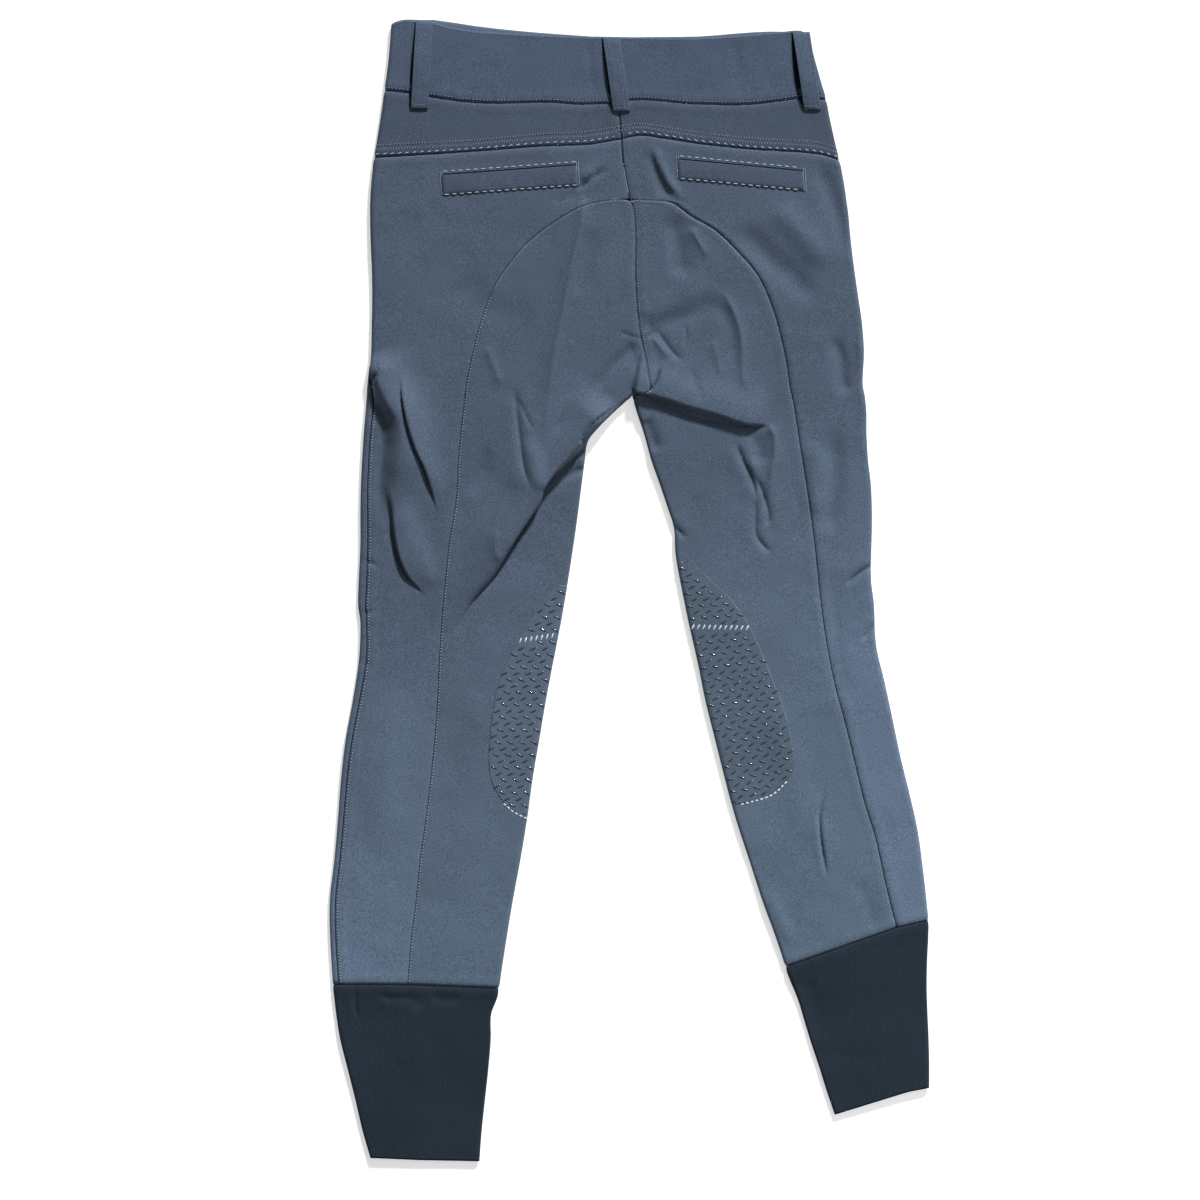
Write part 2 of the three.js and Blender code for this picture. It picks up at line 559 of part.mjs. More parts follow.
// Rows of a piece between two rows of the table, half a seam gap clear of
// both where ends says so
function rowsBetween(half, from, to, perSection, trimStart, trimEnd) {
  const trim = (row) => {
    const above = Math.max(row - ROW_PART, 0);
    const below = Math.min(row + ROW_PART, half.last);
    const span = half.place('outer', above).distanceTo(half.place('outer', below));
    return (SEAM_GAP / 2) * (below - above) / span;
  };
  const length = (i) => half.place('outer', i + 1).distanceTo(half.place('outer', i));
  const rows = [from + (trimStart ? trim(from) : 0)];
  for (let i = Math.floor(from); i < to; i += 1) {
    const count = length(i) > LONG_SECTION ? Math.max(2, perSection) : perSection;
    for (let k = 1; k <= count; k += 1) {
      const row = i + k / count;
      if (row > from + CLEAR_ROW && row < to - CLEAR_ROW) rows.push(row);
    }
  }
  rows.push(to - (trimEnd ? trim(to) : 0));
  return rows;
}

// Closed wall of the given thickness round a grid of middle points. round
// joins the last column to the first.
function wallGeometry(grid, thickness, round = false) {
  const rows = grid.length;
  const columns = grid[0].length;
  const positions = [];
  grid.forEach((line) => line.forEach(({ p, n }) => {
    positions.push(p.clone().addScaledVector(n, thickness / 2));
    positions.push(p.clone().addScaledVector(n, -thickness / 2));
  }));
  const at = (i, j, inside) => 2 * (i * columns + (j % columns)) + (inside ? 1 : 0);
  const faces = [];
  const quad = (a, b, c, d) => faces.push([a, b, c], [a, c, d]);
  const spans = round ? columns : columns - 1;
  for (let i = 0; i < rows - 1; i += 1) {
    for (let j = 0; j < spans; j += 1) {
      quad(at(i, j, false), at(i + 1, j, false), at(i + 1, j + 1, false), at(i, j + 1, false));
      quad(at(i, j, true), at(i, j + 1, true), at(i + 1, j + 1, true), at(i + 1, j, true));
    }
  }
  for (let j = 0; j < spans; j += 1) {
    const end = rows - 1;
    quad(at(0, j, true), at(0, j, false), at(0, j + 1, false), at(0, j + 1, true));
    quad(at(end, j, false), at(end, j, true), at(end, j + 1, true), at(end, j + 1, false));
  }
  if (!round) {
    for (let i = 0; i < rows - 1; i += 1) {
      const end = columns - 1;
      quad(at(i, 0, false), at(i, 0, true), at(i + 1, 0, true), at(i + 1, 0, false));
      quad(at(i, end, true), at(i, end, false), at(i + 1, end, false), at(i + 1, end, true));
    }
  }
  let volume = 0;
  faces.forEach(([a, b, c]) => {
    volume += positions[a].dot(positions[b].clone().cross(positions[c]));
  });
  const outwards = volume > 0 ? faces : faces.map(([a, b, c]) => [a, c, b]);
  const geometry = new THREE.BufferGeometry();
  geometry.setAttribute('position', new THREE.Float32BufferAttribute(
    positions.flatMap((p) => [p.x, p.y, p.z]), 3,
  ));
  geometry.setIndex(outwards.flat());
  geometry.computeVertexNormals();
  return geometry;
}

function fabric(color, roughness = 0.85) {
  return new THREE.MeshStandardMaterial({ color, roughness, metalness: 0 });
}

function addPiece(name, geometry, material) {
  const mesh = new THREE.Mesh(geometry, material);
  mesh.name = name;
  body.add(mesh);
}

const left = makeHalf(LEFT_SECTIONS, -1, false);
const right = makeHalf(RIGHT_SECTIONS, 1, false);
const halves = { left, right };
const cuffs = { left: makeHalf(LEFT_CUFF, -1, true), right: makeHalf(RIGHT_CUFF, 1, true) };
const gap = SEAM_GAP / 2;

// Waistband: the back piece runs over both side edges, two front pieces meet
// at the centre front
function makeWaistband() {
  const rowsOf = (half) => rowsBetween(
    half, ROW_WAIST, ROW_BAND_SEAM, ROWS_PER_SECTION.band, false, true,
  );
  const leftRows = rowsOf(left);
  const rightRows = rowsOf(right);
  const grid = leftRows.map((row, i) => [
    ...hipColumns(left, row, BAND, 0),
    ...hipColumns(right, rightRows[i], BAND, 0).reverse().slice(1),
  ]);
  addPiece('waistband_back', wallGeometry(grid, BAND), fabric(TWILL_BAND));
  Object.entries(halves).forEach(([name, half]) => {
    const front = rowsOf(half).map((row) => frontColumns(half, row, BAND, gap));
    addPiece(`waistband_front_${name}`, wallGeometry(front, BAND), fabric(TWILL_BAND));
  });
}

function makeYoke(name, half) {
  const rows = rowsBetween(half, ROW_BAND_SEAM, ROW_YOKE_SEAM, ROWS_PER_SECTION.yoke, true, true);
  const grid = rows.map((row) => hipColumns(half, row, CLOTH, gap));
  addPiece(`yoke_${name}`, wallGeometry(grid, CLOTH), fabric(TWILL));
}

function makeHip(name, half) {
  const rows = rowsBetween(half, ROW_YOKE_SEAM, half.last, ROWS_PER_SECTION.panel, true, true);
  const grid = rows.map((row) => hipColumns(half, row, CLOTH, gap));
  addPiece(`hip_${name}`, wallGeometry(grid, CLOTH), fabric(TWILL));
}

function makeSeat(name, half) {
  const start = ROW_SEAT_TIP + SEAT_TIP_START;
  const rows = rowsBetween(half, start, half.last, ROWS_PER_SECTION.panel, false, true);
  const grid = rows.map((row) => seatColumns(half, row, CLOTH, gap));
  addPiece(`seat_${name}`, wallGeometry(grid, CLOTH), fabric(TWILL));
}

function makeFront(name, half) {
  const rows = rowsBetween(half, ROW_BAND_SEAM, half.last, ROWS_PER_SECTION.panel, true, true);
  const grid = rows.map((row) => frontColumns(half, row, CLOTH, gap));
  addPiece(`front_${name}`, wallGeometry(grid, CLOTH), fabric(TWILL));
}

// Cuff: one flattened knitted tube
function makeCuff(name, half) {
  const rows = rowsBetween(half, 0, half.last, ROWS_PER_SECTION.cuff, true, false);
  const grid = rows.map((row) => [
    ...hipColumns(half, row, KNIT, 0),
    ...seatColumns(half, row, KNIT, 0).slice(1),
    ...frontColumns(half, row, KNIT, 0).reverse().slice(1, -1),
  ]);
  addPiece(`cuff_${name}`, wallGeometry(grid, KNIT, true), fabric(KNIT_DARK, 0.95));
}

// Strip that lies on the upper layer, lifted by lift(down part, across part)
function strip(corners, wall, below, lift, stepsDown, stepsAcross) {
  const grid = [];
  for (let i = 0; i <= stepsDown; i += 1) {
    const line = [];
    for (let j = 0; j <= stepsAcross; j += 1) {
      const f = i / stepsDown;
      const g = j / stepsAcross;
      const x = lerp(lerp(corners[0][0], corners[1][0], g), lerp(corners[2][0], corners[3][0], g), f);
      const down = lerp(lerp(corners[0][1], corners[1][1], g), lerp(corners[2][1], corners[3][1], g), f);
      const y = toY(down);
      const rise = below / 2 + LAY_GAP + wall / 2 + lift(f, g);
      const z = upperHeight(x, y, LEAST_RISE) + rise;
      line.push({ p: new THREE.Vector3(x, y, z), n: upperNormal(x, y, LEAST_RISE) });
    }
    grid.push(line);
  }
  return wallGeometry(grid, wall);
}

function makeWelt({ name, leftX, leftDown, rightX, rightDown, depth }) {
  const footDown = [leftDown + depth, rightDown + depth];
  const corners = [
    [leftX, leftDown], [rightX, rightDown],
    [leftX + WELT_LEAN, footDown[0]], [rightX + WELT_LEAN, footDown[1]],
  ];
  addPiece(name, strip(corners, WELT_WALL, CLOTH, () => 0, ...WELT_STEPS), fabric(TWILL));
}

function makeLoop({ name, topX, topDown, footX, footDown, leftBow, rightBow }) {
  const w = LOOP_WIDTH / 2;
  const corners = [[topX - w, topDown], [topX + w, topDown], [footX - w, footDown], [footX + w, footDown]];
  const lift = (f, g) => lerp(leftBow, rightBow, g) * Math.sin(Math.PI * f);
  addPiece(name, strip(corners, LOOP_WALL, BAND, lift, ...LOOP_STEPS), fabric(TWILL_BAND));
}

makeWaistband();
Object.entries(halves).forEach(([name, half]) => {
  makeYoke(name, half);
  makeHip(name, half);
  makeSeat(name, half);
  makeFront(name, half);
});
Object.entries(cuffs).forEach(([name, half]) => makeCuff(name, half));
WELTS.forEach(makeWelt);
LOOPS.forEach(makeLoop);

export default body;
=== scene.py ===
# Riding breeches laid flat on a pale floor, back side up: every cloth piece as
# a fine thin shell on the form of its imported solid, with its sewing and grip.
import math

import bpy
import numpy as np
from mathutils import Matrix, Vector


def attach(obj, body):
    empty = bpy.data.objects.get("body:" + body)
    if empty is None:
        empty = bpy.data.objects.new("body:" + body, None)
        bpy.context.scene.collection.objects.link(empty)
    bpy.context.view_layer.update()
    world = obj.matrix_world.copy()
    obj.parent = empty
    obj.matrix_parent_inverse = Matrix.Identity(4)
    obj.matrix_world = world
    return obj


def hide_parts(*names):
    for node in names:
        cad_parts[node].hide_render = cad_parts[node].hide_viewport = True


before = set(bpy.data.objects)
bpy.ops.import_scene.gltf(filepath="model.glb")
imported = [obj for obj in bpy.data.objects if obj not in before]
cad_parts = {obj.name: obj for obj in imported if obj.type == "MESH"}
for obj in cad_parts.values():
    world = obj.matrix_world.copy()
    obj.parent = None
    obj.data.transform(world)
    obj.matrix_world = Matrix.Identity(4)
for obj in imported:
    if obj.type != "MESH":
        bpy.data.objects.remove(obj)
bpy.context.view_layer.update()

# Sizes in millimetres. X runs to the right as seen from above with the waist
# at the top, Y towards the waist, Z up; "down" is the distance below the
# highest point of the waist edge.
MM = 0.001
LENGTH = 970.0
CLOTH = 1.2
BAND = 2.0
KNIT = 1.2
SEAM_GAP = 0.3
LEAST_RISE = 2.2
EDGE_SHAPE = 1.4
EDGE_REACH = 3.2

# Half sections from the waist edge to the cuff seam: the side edge, the curved
# seam between hip and seat panels, the inner edge, how far the side seam lies
# past the side edge and how far the inseam lies past the inner edge
SECTION = ("outerX", "outerDown", "seamX", "seamDown", "innerX", "innerDown", "out", "tuck")
LEFT_SECTIONS = (
    (-202.7, 5.5, None, None, -16.6, 14.7, -12, 0),
    (-204.6, 31, None, None, -12.7, 42.1, -12, 0),
    (-208.2, 59.9, None, None, -8.9, 70.1, -12, 0),
    (-212.1, 87.1, None, None, -8.5, 85.4, -11, 0),
    (-216.8, 116.9, None, None, -7.2, 101.2, -10, 0),
    (-218.9, 133, None, None, -5.5, 123.7, -10, 0),
    (-220.1, 149.2, -0.4, 152.6, -0.4, 152.6, -10, 0),
    (-220.4, 157.7, -20, 153.4, 2.1, 156.8, -10, 0),
    (-220.4, 167, -40.4, 158.5, 3.8, 165.3, -10, 0),
    (-220.2, 179.8, -62.5, 170.9, 4.8, 177.2, -10, 0),
    (-219.7, 195.1, -84.6, 187.4, 5.1, 192.5, -10, 0),
    (-218.9, 213.8, -101.6, 206.6, 4.8, 210.4, -9, 0),
    (-218.5, 234.2, -115.2, 227.4, 5.4, 230.8, -8, 0),
    (-218.8, 258, -126.7, 257.1, 8.1, 261.4, -6, 0),
    (-219.5, 283.5, -133.5, 284.3, 13.6, 288.6, -3, 0),
    (-222.6, 309, -138.6, 309, 18.3, 312.4, 4, 0),
    (-223.4, 320.9, -140.1, 321.7, 2.1, 319.6, 6, 0),
    (-224.2, 332.8, -141.5, 333.6, -13.2, 332.8, 6.5, 5),
    (-225.4, 346.4, -143, 346.4, -27.2, 347.2, 6.5, 10),
    (-226.3, 359.1, -144.3, 359.1, -35.7, 359.1, 6, 14),
    (-227.5, 377.8, -145.8, 377.8, -38.4, 377.8, 6, 18),
    (-228.4, 399.1, -146.6, 399.1, -41.2, 399.1, 6, 22),
    (-228.7, 420.3, -149.2, 420.3, -43.9, 420.3, 6.5, 25),
    (-228.7, 445.8, -153.4, 445.8, -47.5, 445.8, 6.5, 28),
    (-230.1, 475.6, -156.4, 475.6, -52.1, 475.6, 7, 30),
    (-230.6, 496.8, -158.5, 496.8, -55.7, 496.8, 6.5, 31),
    (-228.7, 513.8, -159.8, 513.8, -58.7, 513.8, 5.5, 32),
    (-229.9, 543.6, -161.8, 543.6, -64.5, 543.6, 6.5, 33),
    (-235, 577.6, -163.2, 577.6, -71, 577.6, 6, 34),
    (-241.2, 611.6, -165.7, 611.6, -76.7, 611.6, 6, 34),
    (-245.2, 645.6, -169.2, 645.6, -82.5, 645.6, 5.5, 33),
    (-247.8, 679.6, -173.3, 679.6, -87.1, 679.6, 5, 31),
    (-250.8, 713.6, -178.1, 713.6, -92.7, 713.6, 5, 29),
    (-254.6, 747.6, -181.5, 747.6, -99, 747.6, 5, 27),
    (-254.3, 781.6, -185.7, 781.6, -104.6, 781.6, 5, 25),
    (-252, 819, -188.7, 819.4, -110.9, 822.4, 5, 23),
)
RIGHT_SECTIONS = (
    (152.2, 13.2, None, None, -16.6, 14.7, -12, 0),
    (157.3, 32.7, None, None, -12.7, 42.1, -12, 0),
    (167, 67.6, None, None, -8.9, 70.1, -12, 0),
    (172.1, 92.2, None, None, -8.5, 85.4, -12, 0),
    (178.1, 119, None, None, -7.2, 101.2, -12, 0),
    (180.6, 129.6, None, None, -5.5, 123.7, -12, 0),
    (183.2, 144.1, -0.4, 152.6, -0.4, 152.6, -12, 0),
    (184.7, 155.1, 17.4, 152.8, 2.1, 156.8, -12, 0),
    (186.2, 166.2, 36.1, 155.1, 3.8, 165.3, -12, 0),
    (187.4, 179.8, 53.1, 166.9, 4.8, 177.2, -12, 0),
    (189.1, 196.8, 73.5, 178.9, 5.1, 192.5, -12, 0),
    (191.4, 214.6, 93.9, 198.5, 4.8, 210.4, -12, 0),
    (194.2, 234.2, 110.9, 219.7, 5.4, 230.8, -12, 0),
    (197.6, 258, 123.7, 250.3, 8.1, 261.4, -12, 0),
    (199.2, 282.6, 132.2, 284.3, 13.6, 288.6, -12, 0),
    (198.1, 307.3, 136.4, 310.7, 18.3, 312.4, -12, 0),
    (200, 320, 139, 322.6, 2.1, 319.6, -12, 0),
    (201.3, 332.8, 140.9, 333.6, 6.2, 332.8, -12, 5),
    (201.5, 352.3, 143.7, 352.3, 12.5, 352.3, -12, 11),
    (202.7, 373.6, 147.1, 373.6, 18.3, 373.6, -12, 16),
    (205, 393.1, 150.2, 393.1, 25.2, 393.1, -12, 20),
    (206, 414.4, 153.4, 414.4, 32.4, 414.4, -12, 24),
    (206, 433.1, 156, 433.1, 37.8, 432.2, -12, 27),
    (205.5, 451.8, 158.3, 452.6, 39.1, 454.3, -12, 29),
    (205.3, 475.6, 160.9, 478.1, 44.2, 482.4, -12, 31),
    (207.8, 496.8, 163.6, 501.1, 49.7, 509.6, -12, 32),
    (209.5, 530.8, 168.7, 535.1, 58.2, 547.8, -11, 33),
    (216.3, 560.6, 174.9, 565.3, 64.2, 577.6, -11, 34),
    (223.1, 592, 183.4, 597.1, 72.7, 611.6, -10, 34),
    (229.9, 624.3, 191.3, 629.4, 81.2, 645.6, -10, 33),
    (237.6, 655.8, 199.2, 662.2, 90.5, 679.6, -9, 31),
    (244.8, 688.1, 209.1, 694.5, 101.6, 713.6, -9, 29),
    (249.5, 723.8, 216.9, 729.6, 112.6, 747.6, -8, 27),
    (252, 745.9, 222.4, 752.7, 122.6, 774.8, -8, 25),
    (253.7, 764.2, 227, 770.5, 132.6, 804.1, -8, 23),
)
LEFT_CUFF = (
    (-252, 819, -188.7, 819.4, -110.9, 822.4, 5, 23),
    (-250.9, 830.9, -188.5, 831.2, -112.8, 831.7, 5, 22),
    (-249.1, 846.2, -189.8, 846, -117.6, 845.3, 5, 20),
    (-245.7, 866.6, -188.1, 866.6, -117.9, 866.6, 5, 20),
    (-239.3, 892.1, -185.5, 892.1, -120, 892.1, 5, 20),
    (-232.9, 917.6, -183.3, 917.6, -122.8, 917.6, 5, 20),
    (-227, 943.1, -181.3, 943.1, -125.5, 943.1, 5, 20),
    (-220.2, 966.5, -178.4, 968.4, -127.5, 969.4, 5, 20),
)
RIGHT_CUFF = (
    (253.7, 764.2, 227, 770.5, 132.6, 804.1, -8, 23),
    (253.9, 777.3, 227.6, 783, 135.6, 813.9, -8, 22),
    (252.9, 798.6, 228.3, 805, 143.2, 832.6, -8, 20),
    (252.5, 819.8, 229.2, 826.5, 148.3, 849.6, -8, 20),
    (253, 839.4, 231, 846, 154.3, 869.1, -8, 20),
    (254, 862.3, 233, 868.5, 161.1, 889.5, -8, 20),
    (254.6, 885.3, 235, 890.5, 167.5, 909.9, -8, 20),
    (254.6, 907, 236.5, 910.5, 174.3, 929.9, -8, 20),
)
ROW_WAIST = 0
ROW_BAND_SEAM = 2
ROW_YOKE_SEAM = 4
ROW_SEAT_TIP = 6
ROW_BACK_SEAM_END = 15
ROW_CROTCH = 16

# Seams that are not straight across, as X and down
WAIST_EDGE = (
    (-202.7, 5.5), (-199.3, 2.1), (-190.8, 0), (-169.6, 1.3), (-152.6, 6), (-127.1, 9.8),
    (-67.6, 13.2), (-16.6, 14.7), (59.9, 15.3), (102.4, 12.8), (132.2, 10.2), (144.9, 9.5),
    (152.2, 13.2),
)
BAND_SEAM = (
    (-208.2, 59.9), (-184.9, 62.5), (-167, 65.9), (-135.6, 70.1), (-110.1, 71), (-67.6, 70.1),
    (-42.1, 71.8), (-8.9, 70.1), (4.7, 68), (25.9, 68.9), (51.4, 71.4), (102.4, 71.8),
    (132.2, 68.4), (147.5, 66.3), (167, 67.6),
)
YOKE_SEAM = (
    (-216.8, 116.9), (-178.1, 114.8), (-127.1, 111.4), (-76.1, 107.5), (-33.6, 105.8),
    (-7.2, 101.2), (8.9, 98.2), (25.9, 100.3), (59.9, 105.4), (102.4, 109.7), (144.9, 112.2),
    (161.9, 114.2), (178.1, 119),
)
BOWED_ROWS = ((ROW_WAIST, WAIST_EDGE), (ROW_BAND_SEAM, BAND_SEAM), (ROW_YOKE_SEAM, YOKE_SEAM))
BOW_REACH = 2
FRONT_SEAM_X = (-12, 2.1)
REST_HEIGHT = (
    (0, 4.6), (70, 4.8), (160, 5.2), (300, 5.4), (420, 4.8), (600, 4.4), (780, 4.2), (830, 3.6),
    (970, 3.4),
)

# Folds: kind, height, half width, shares of the path over which the fold dies
# out at its start and at its end, path as X and down. A ridge stands up softly
# and a pinch sharply, a trough goes down softly, a groove sharply and a crease
# sharply between sides that rise.
FOLDS = (
    # left thigh
    ("groove", 5, 2, 0.12, 0.04, ((-150, 526), (-135, 496), (-119, 472), (-107, 452),
        (-91, 427), (-80, 413), (-72, 405), (-59, 391), (-49, 385), (-37, 381))),
    ("groove", 2.4, 2, 0.1, 0.12, ((13, 317.5), (30, 326), (47, 333.5), (60, 338), (77, 341.5),
        (96, 344), (117, 345))),
    ("ridge", 1.6, 8, 0.25, 0.25, ((-192, 408), (-185, 433), (-175, 463), (-161, 486))),
    ("crease", 1.8, 3.2, 0.2, 0.2, ((-98, 310), (-96, 331), (-93, 357), (-90, 378), (-85, 402))),
    ("ridge", 1.4, 7, 0.25, 0.25, ((-86, 353), (-81, 379), (-78, 401))),
    ("crease", 0.8, 2, 0.25, 0.25, ((-96, 319), (-88, 336), (-81, 351))),
    ("pinch", 1.3, 3, 0.25, 0.25, ((-122, 276), (-119, 285), (-113, 300), (-110, 312))),
    ("trough", 1.2, 14, 0.25, 0.25, ((-147, 218), (-136, 232), (-124, 245), (-97, 251),
        (-75, 251))),
    ("trough", 1.1, 7, 0.25, 0.25, ((-117, 362), (-125, 375), (-130, 389), (-132, 408))),
    ("trough", 1.3, 7, 0.25, 0.25, ((-146, 434), (-144, 411), (-137, 394), (-125, 385), (-111, 381))),
    ("trough", 2, 5, 0.3, 0.2, ((-84, 402), (-71.6, 374), (-54.6, 351), (-32, 329), (-14, 312))),
    ("pinch", 1.2, 3, 0.3, 0.3, ((-114, 462), (-116, 447), (-113, 431))),
    ("pinch", 2.6, 6, 0.15, 0.3, ((-40, 146), (-41, 171), (-49, 208), (-56, 245), (-63, 279),
        (-70, 326), (-74, 365))),
    ("trough", 1, 8, 0.25, 0.25, ((-30, 174), (-38, 205), (-45, 238))),
    ("trough", 2, 5, 0.15, 0.25, ((9, 273), (-3, 284), (-15, 295), (-34, 318), (-58, 344),
        (-68, 357))),
    ("ridge", 1.8, 14, 0.2, 0.25, ((14, 295), (-5, 312), (-23, 329), (-45, 351))),
    ("crease", 2.6, 2, 0.2, 0.3, ((-44, 145), (-33, 135), (-19, 125))),
    ("ridge", 1.2, 5, 0.25, 0.25, ((-41, 136), (-30, 127))),
    ("trough", 0.6, 4, 0.25, 0.25, ((-67, 156), (-54, 152), (-42, 146))),
    ("crease", 0.7, 2, 0.25, 0.1, ((-10, 265), (2, 269), (11, 272))),
    # right seat and thigh
    ("crease", 3, 1.6, 0.1, 0.3, ((17, 314), (22, 308), (24, 302), (26, 296))),
    ("crease", 0.8, 2, 0.1, 0.25, ((12, 271), (19, 267), (27, 263))),
    ("pinch", 3.2, 3, 0.2, 0.3, ((20, 107), (24, 119), (29, 130), (36, 142), (47, 154))),
    ("trough", 1.7, 5, 0.2, 0.25, ((17, 110), (21, 125), (28, 142), (39, 156))),
    ("trough", 2.2, 8, 0.25, 0.25, ((37, 163), (39, 184), (43, 204), (45, 222))),
    ("pinch", 1.7, 4.5, 0.25, 0.25, ((51, 175), (58, 188), (67, 204))),
    ("ridge", 1.6, 13, 0.25, 0.25, ((6, 256), (26, 248), (47, 238), (70, 214))),
    ("trough", 1.8, 8, 0.15, 0.25, ((10, 266), (32, 255), (57, 248), (74, 229))),
    ("pinch", 2.0, 4, 0.25, 0.25, ((75, 227), (85, 241), (91, 255), (95, 272), (96, 303),
        (102, 317))),
    ("trough", 0.9, 6, 0.25, 0.25, ((70, 238), (82, 253), (87, 272), (89, 299))),
    ("crease", 1.5, 2.8, 0.25, 0.25, ((23, 264), (29, 273), (36, 282), (45, 291))),
    ("pinch", 1.6, 2.6, 0.25, 0.25, ((18, 269), (26, 278), (34, 288))),
    ("crease", 0.8, 2, 0.25, 0.25, ((46, 258), (48, 268), (45, 278))),
    ("trough", 0.8, 4, 0.25, 0.25, ((51, 294), (56, 310), (62, 325))),
    ("pinch", 1.0, 3, 0.25, 0.25, ((70, 270), (74, 287), (79, 307))),
    ("pinch", 2.6, 4, 0.15, 0.3, ((117, 342), (123, 355), (123, 370), (120, 387), (118, 409))),
    ("trough", 1.7, 7, 0.25, 0.25, ((99, 346), (108, 361), (113, 380))),
    ("crease", 2.4, 3.2, 0.25, 0.25, ((90, 357), (96, 374), (104, 391), (108, 409))),
    ("crease", 2.2, 2.8, 0.25, 0.25, ((107, 385), (113, 402), (118, 421), (115, 431))),
    ("crease", 1.7, 2.6, 0.25, 0.25, ((108, 406), (107, 420), (107, 436), (113, 446), (123, 455))),
    ("ridge", 1, 4, 0.25, 0.25, ((100, 368), (108, 390), (113, 413))),
    ("trough", 2, 6, 0.2, 0.25, ((13, 338), (18, 353), (25, 368))),
    ("crease", 1.8, 2.4, 0.1, 0.35, ((34, 424), (40, 432), (49, 442))),
    ("trough", 2.8, 10, 0.25, 0.25, ((91, 173), (111, 195), (135, 217), (164, 244))),
    ("ridge", 2.6, 11, 0.25, 0.25, ((119, 155), (145, 181), (170, 212))),
    ("trough", 2.3, 7, 0.25, 0.25, ((159, 117), (170, 148), (179, 174), (184, 207))),
    ("trough", 2.4, 6, 0.25, 0.25, ((172, 266), (179, 287), (181, 306), (185, 320))),
    ("ridge", 1.9, 5, 0.25, 0.25, ((197, 261), (201, 297), (203, 341))),
    ("trough", 2.4, 8, 0.25, 0.25, ((172, 343), (174, 382), (171, 412), (170, 439))),
    ("ridge", 1.9, 9, 0.25, 0.25, ((157, 355), (159, 391), (158, 426))),
    ("crease", 2.6, 2.6, 0.08, 0.35, ((205, 463), (194, 471), (183, 481))),
    ("crease", 2.2, 2.6, 0.08, 0.35, ((210, 510), (203, 520), (197, 528))),
    # calves, cuffs, waistband
    ("ridge", 1.4, 16, 0.25, 0.25, ((-205, 560), (-208, 640), (-214, 720))),
    ("ridge", 1.3, 16, 0.25, 0.25, ((-128, 560), (-130, 640), (-140, 740))),
    ("trough", 1.3, 9, 0.25, 0.25, ((168, 462), (171, 500), (175, 545), (182, 590))),
    ("ridge", 1.4, 16, 0.25, 0.25, ((120, 560), (138, 640), (160, 720))),
    ("crease", 2.4, 1.4, 0.2, 0.3, ((168, 654), (161.5, 673), (161.9, 692), (165, 714), (167, 730))),
    ("trough", 0.8, 6, 0.25, 0.25, ((193, 727), (202, 752), (211, 779))),
    ("ridge", 1, 6, 0.25, 0.25, ((114, 737), (126, 760), (136, 788))),
    ("crease", 0.9, 2.2, 0.1, 0.4, ((-231, 460), (-221, 461), (-211, 465))),
    ("crease", 1.1, 2.4, 0.1, 0.4, ((-234, 506), (-223, 504), (-213, 499))),
    ("crease", 0.8, 2.2, 0.1, 0.4, ((-236, 543), (-227, 545), (-218, 550))),
    ("crease", 1.3, 2.6, 0.25, 0.25, ((-232, 822), (-233, 834), (-231, 850))),
    ("crease", 1.2, 2.4, 0.25, 0.3, ((-214, 826), (-204, 831), (-190, 831), (-178, 834))),
    ("trough", 0.9, 5, 0.25, 0.25, ((-192, 827), (-182, 833), (-175, 839))),
    ("trough", 1.3, 4, 0.25, 0.25, ((-170, 828), (-157, 832), (-142, 830))),
    ("trough", 1.2, 7, 0.25, 0.25, ((144, 810), (156, 834), (162, 868))),
    ("trough", 1.3, 8, 0.25, 0.25, ((-161, 858), (-164, 896), (-171, 935))),
    ("trough", 0.6, 4, 0.25, 0.25, ((-36, 15), (-34, 42), (-30, 67))),
    ("trough", 0.6, 5, 0.25, 0.25, ((89, 15), (92, 35), (90, 64))),
)

# Laps, where cloth lies over cloth: height and half width on the left of the
# path, dying out as above, how wide the drop on the right is at the start, in
# the middle and at the end, how far the cloth hangs over, path
LAPS = (
    # left thigh, from the seat's far side to the inner leg
    (9.5, 24, 0.26, 0.1, (1.2, 2.2, 12), 7.5, ((-155, 532), (-136, 495), (-119, 471), (-107, 448),
        (-96.5, 431), (-88, 419), (-81, 408), (-77, 396), (-69, 385), (-60, 376), (-49, 364),
        (-38, 352), (-25, 338), (-10, 324))),
    # left flank, two that follow each other down
    (8.5, 20, 0.1, 0.35, (8, 19, 14), 0, ((-221, 283), (-212, 308), (-204, 325), (-195, 339),
        (-191.8, 358), (-195, 381), (-199, 404), (-204, 424))),
    (4.4, 13, 0.3, 0.5, (9, 2.6, 1.2), 3.4, ((-206, 385), (-199, 411), (-197, 433), (-193, 454),
        (-187, 470), (-179, 481), (-171, 489))),
    # left hip, the sharp crease beside them
    (3.8, 9, 0.12, 0.4, (1.4, 1.8, 1.2), 2, ((-194, 302), (-187.7, 337), (-180.2, 363),
        (-171.7, 382), (-166.4, 401), (-162, 423))),
    # right thigh, out from the crotch
    (6.2, 24, 0.05, 0.15, (2, 7, 1.5), 5, ((2, 312), (16, 315), (34, 320), (51, 326), (66, 330),
        (80, 334), (98, 340), (120, 344))),
)
LAP_MIDDLE = 0.55                # share of the path at its middle drop
LAP_HOLLOW = {"share": 0.22, "width": 0.5, "least": 3}
LAP_LIP = 9                      # cloth that moves with the lip on its high side
LAP_STIFF = 6                    # a wider drop than this hardly hangs over
FOLD_STEPS = 5                   # straight pieces between two points of a path
CREASE_ROUND = 0.4
CREASE_SIDES = 0.55              # rise of the cloth beside a crease, against its depth
CREASE_SIDE_WIDTH = 3.5

# Unevenness of the cloth: size of its hills, height, seed of the draw
RELIEF = ((75, 0.9, 3), (30, 0.4, 5), (12, 0.14, 7))
LATTICE = 64


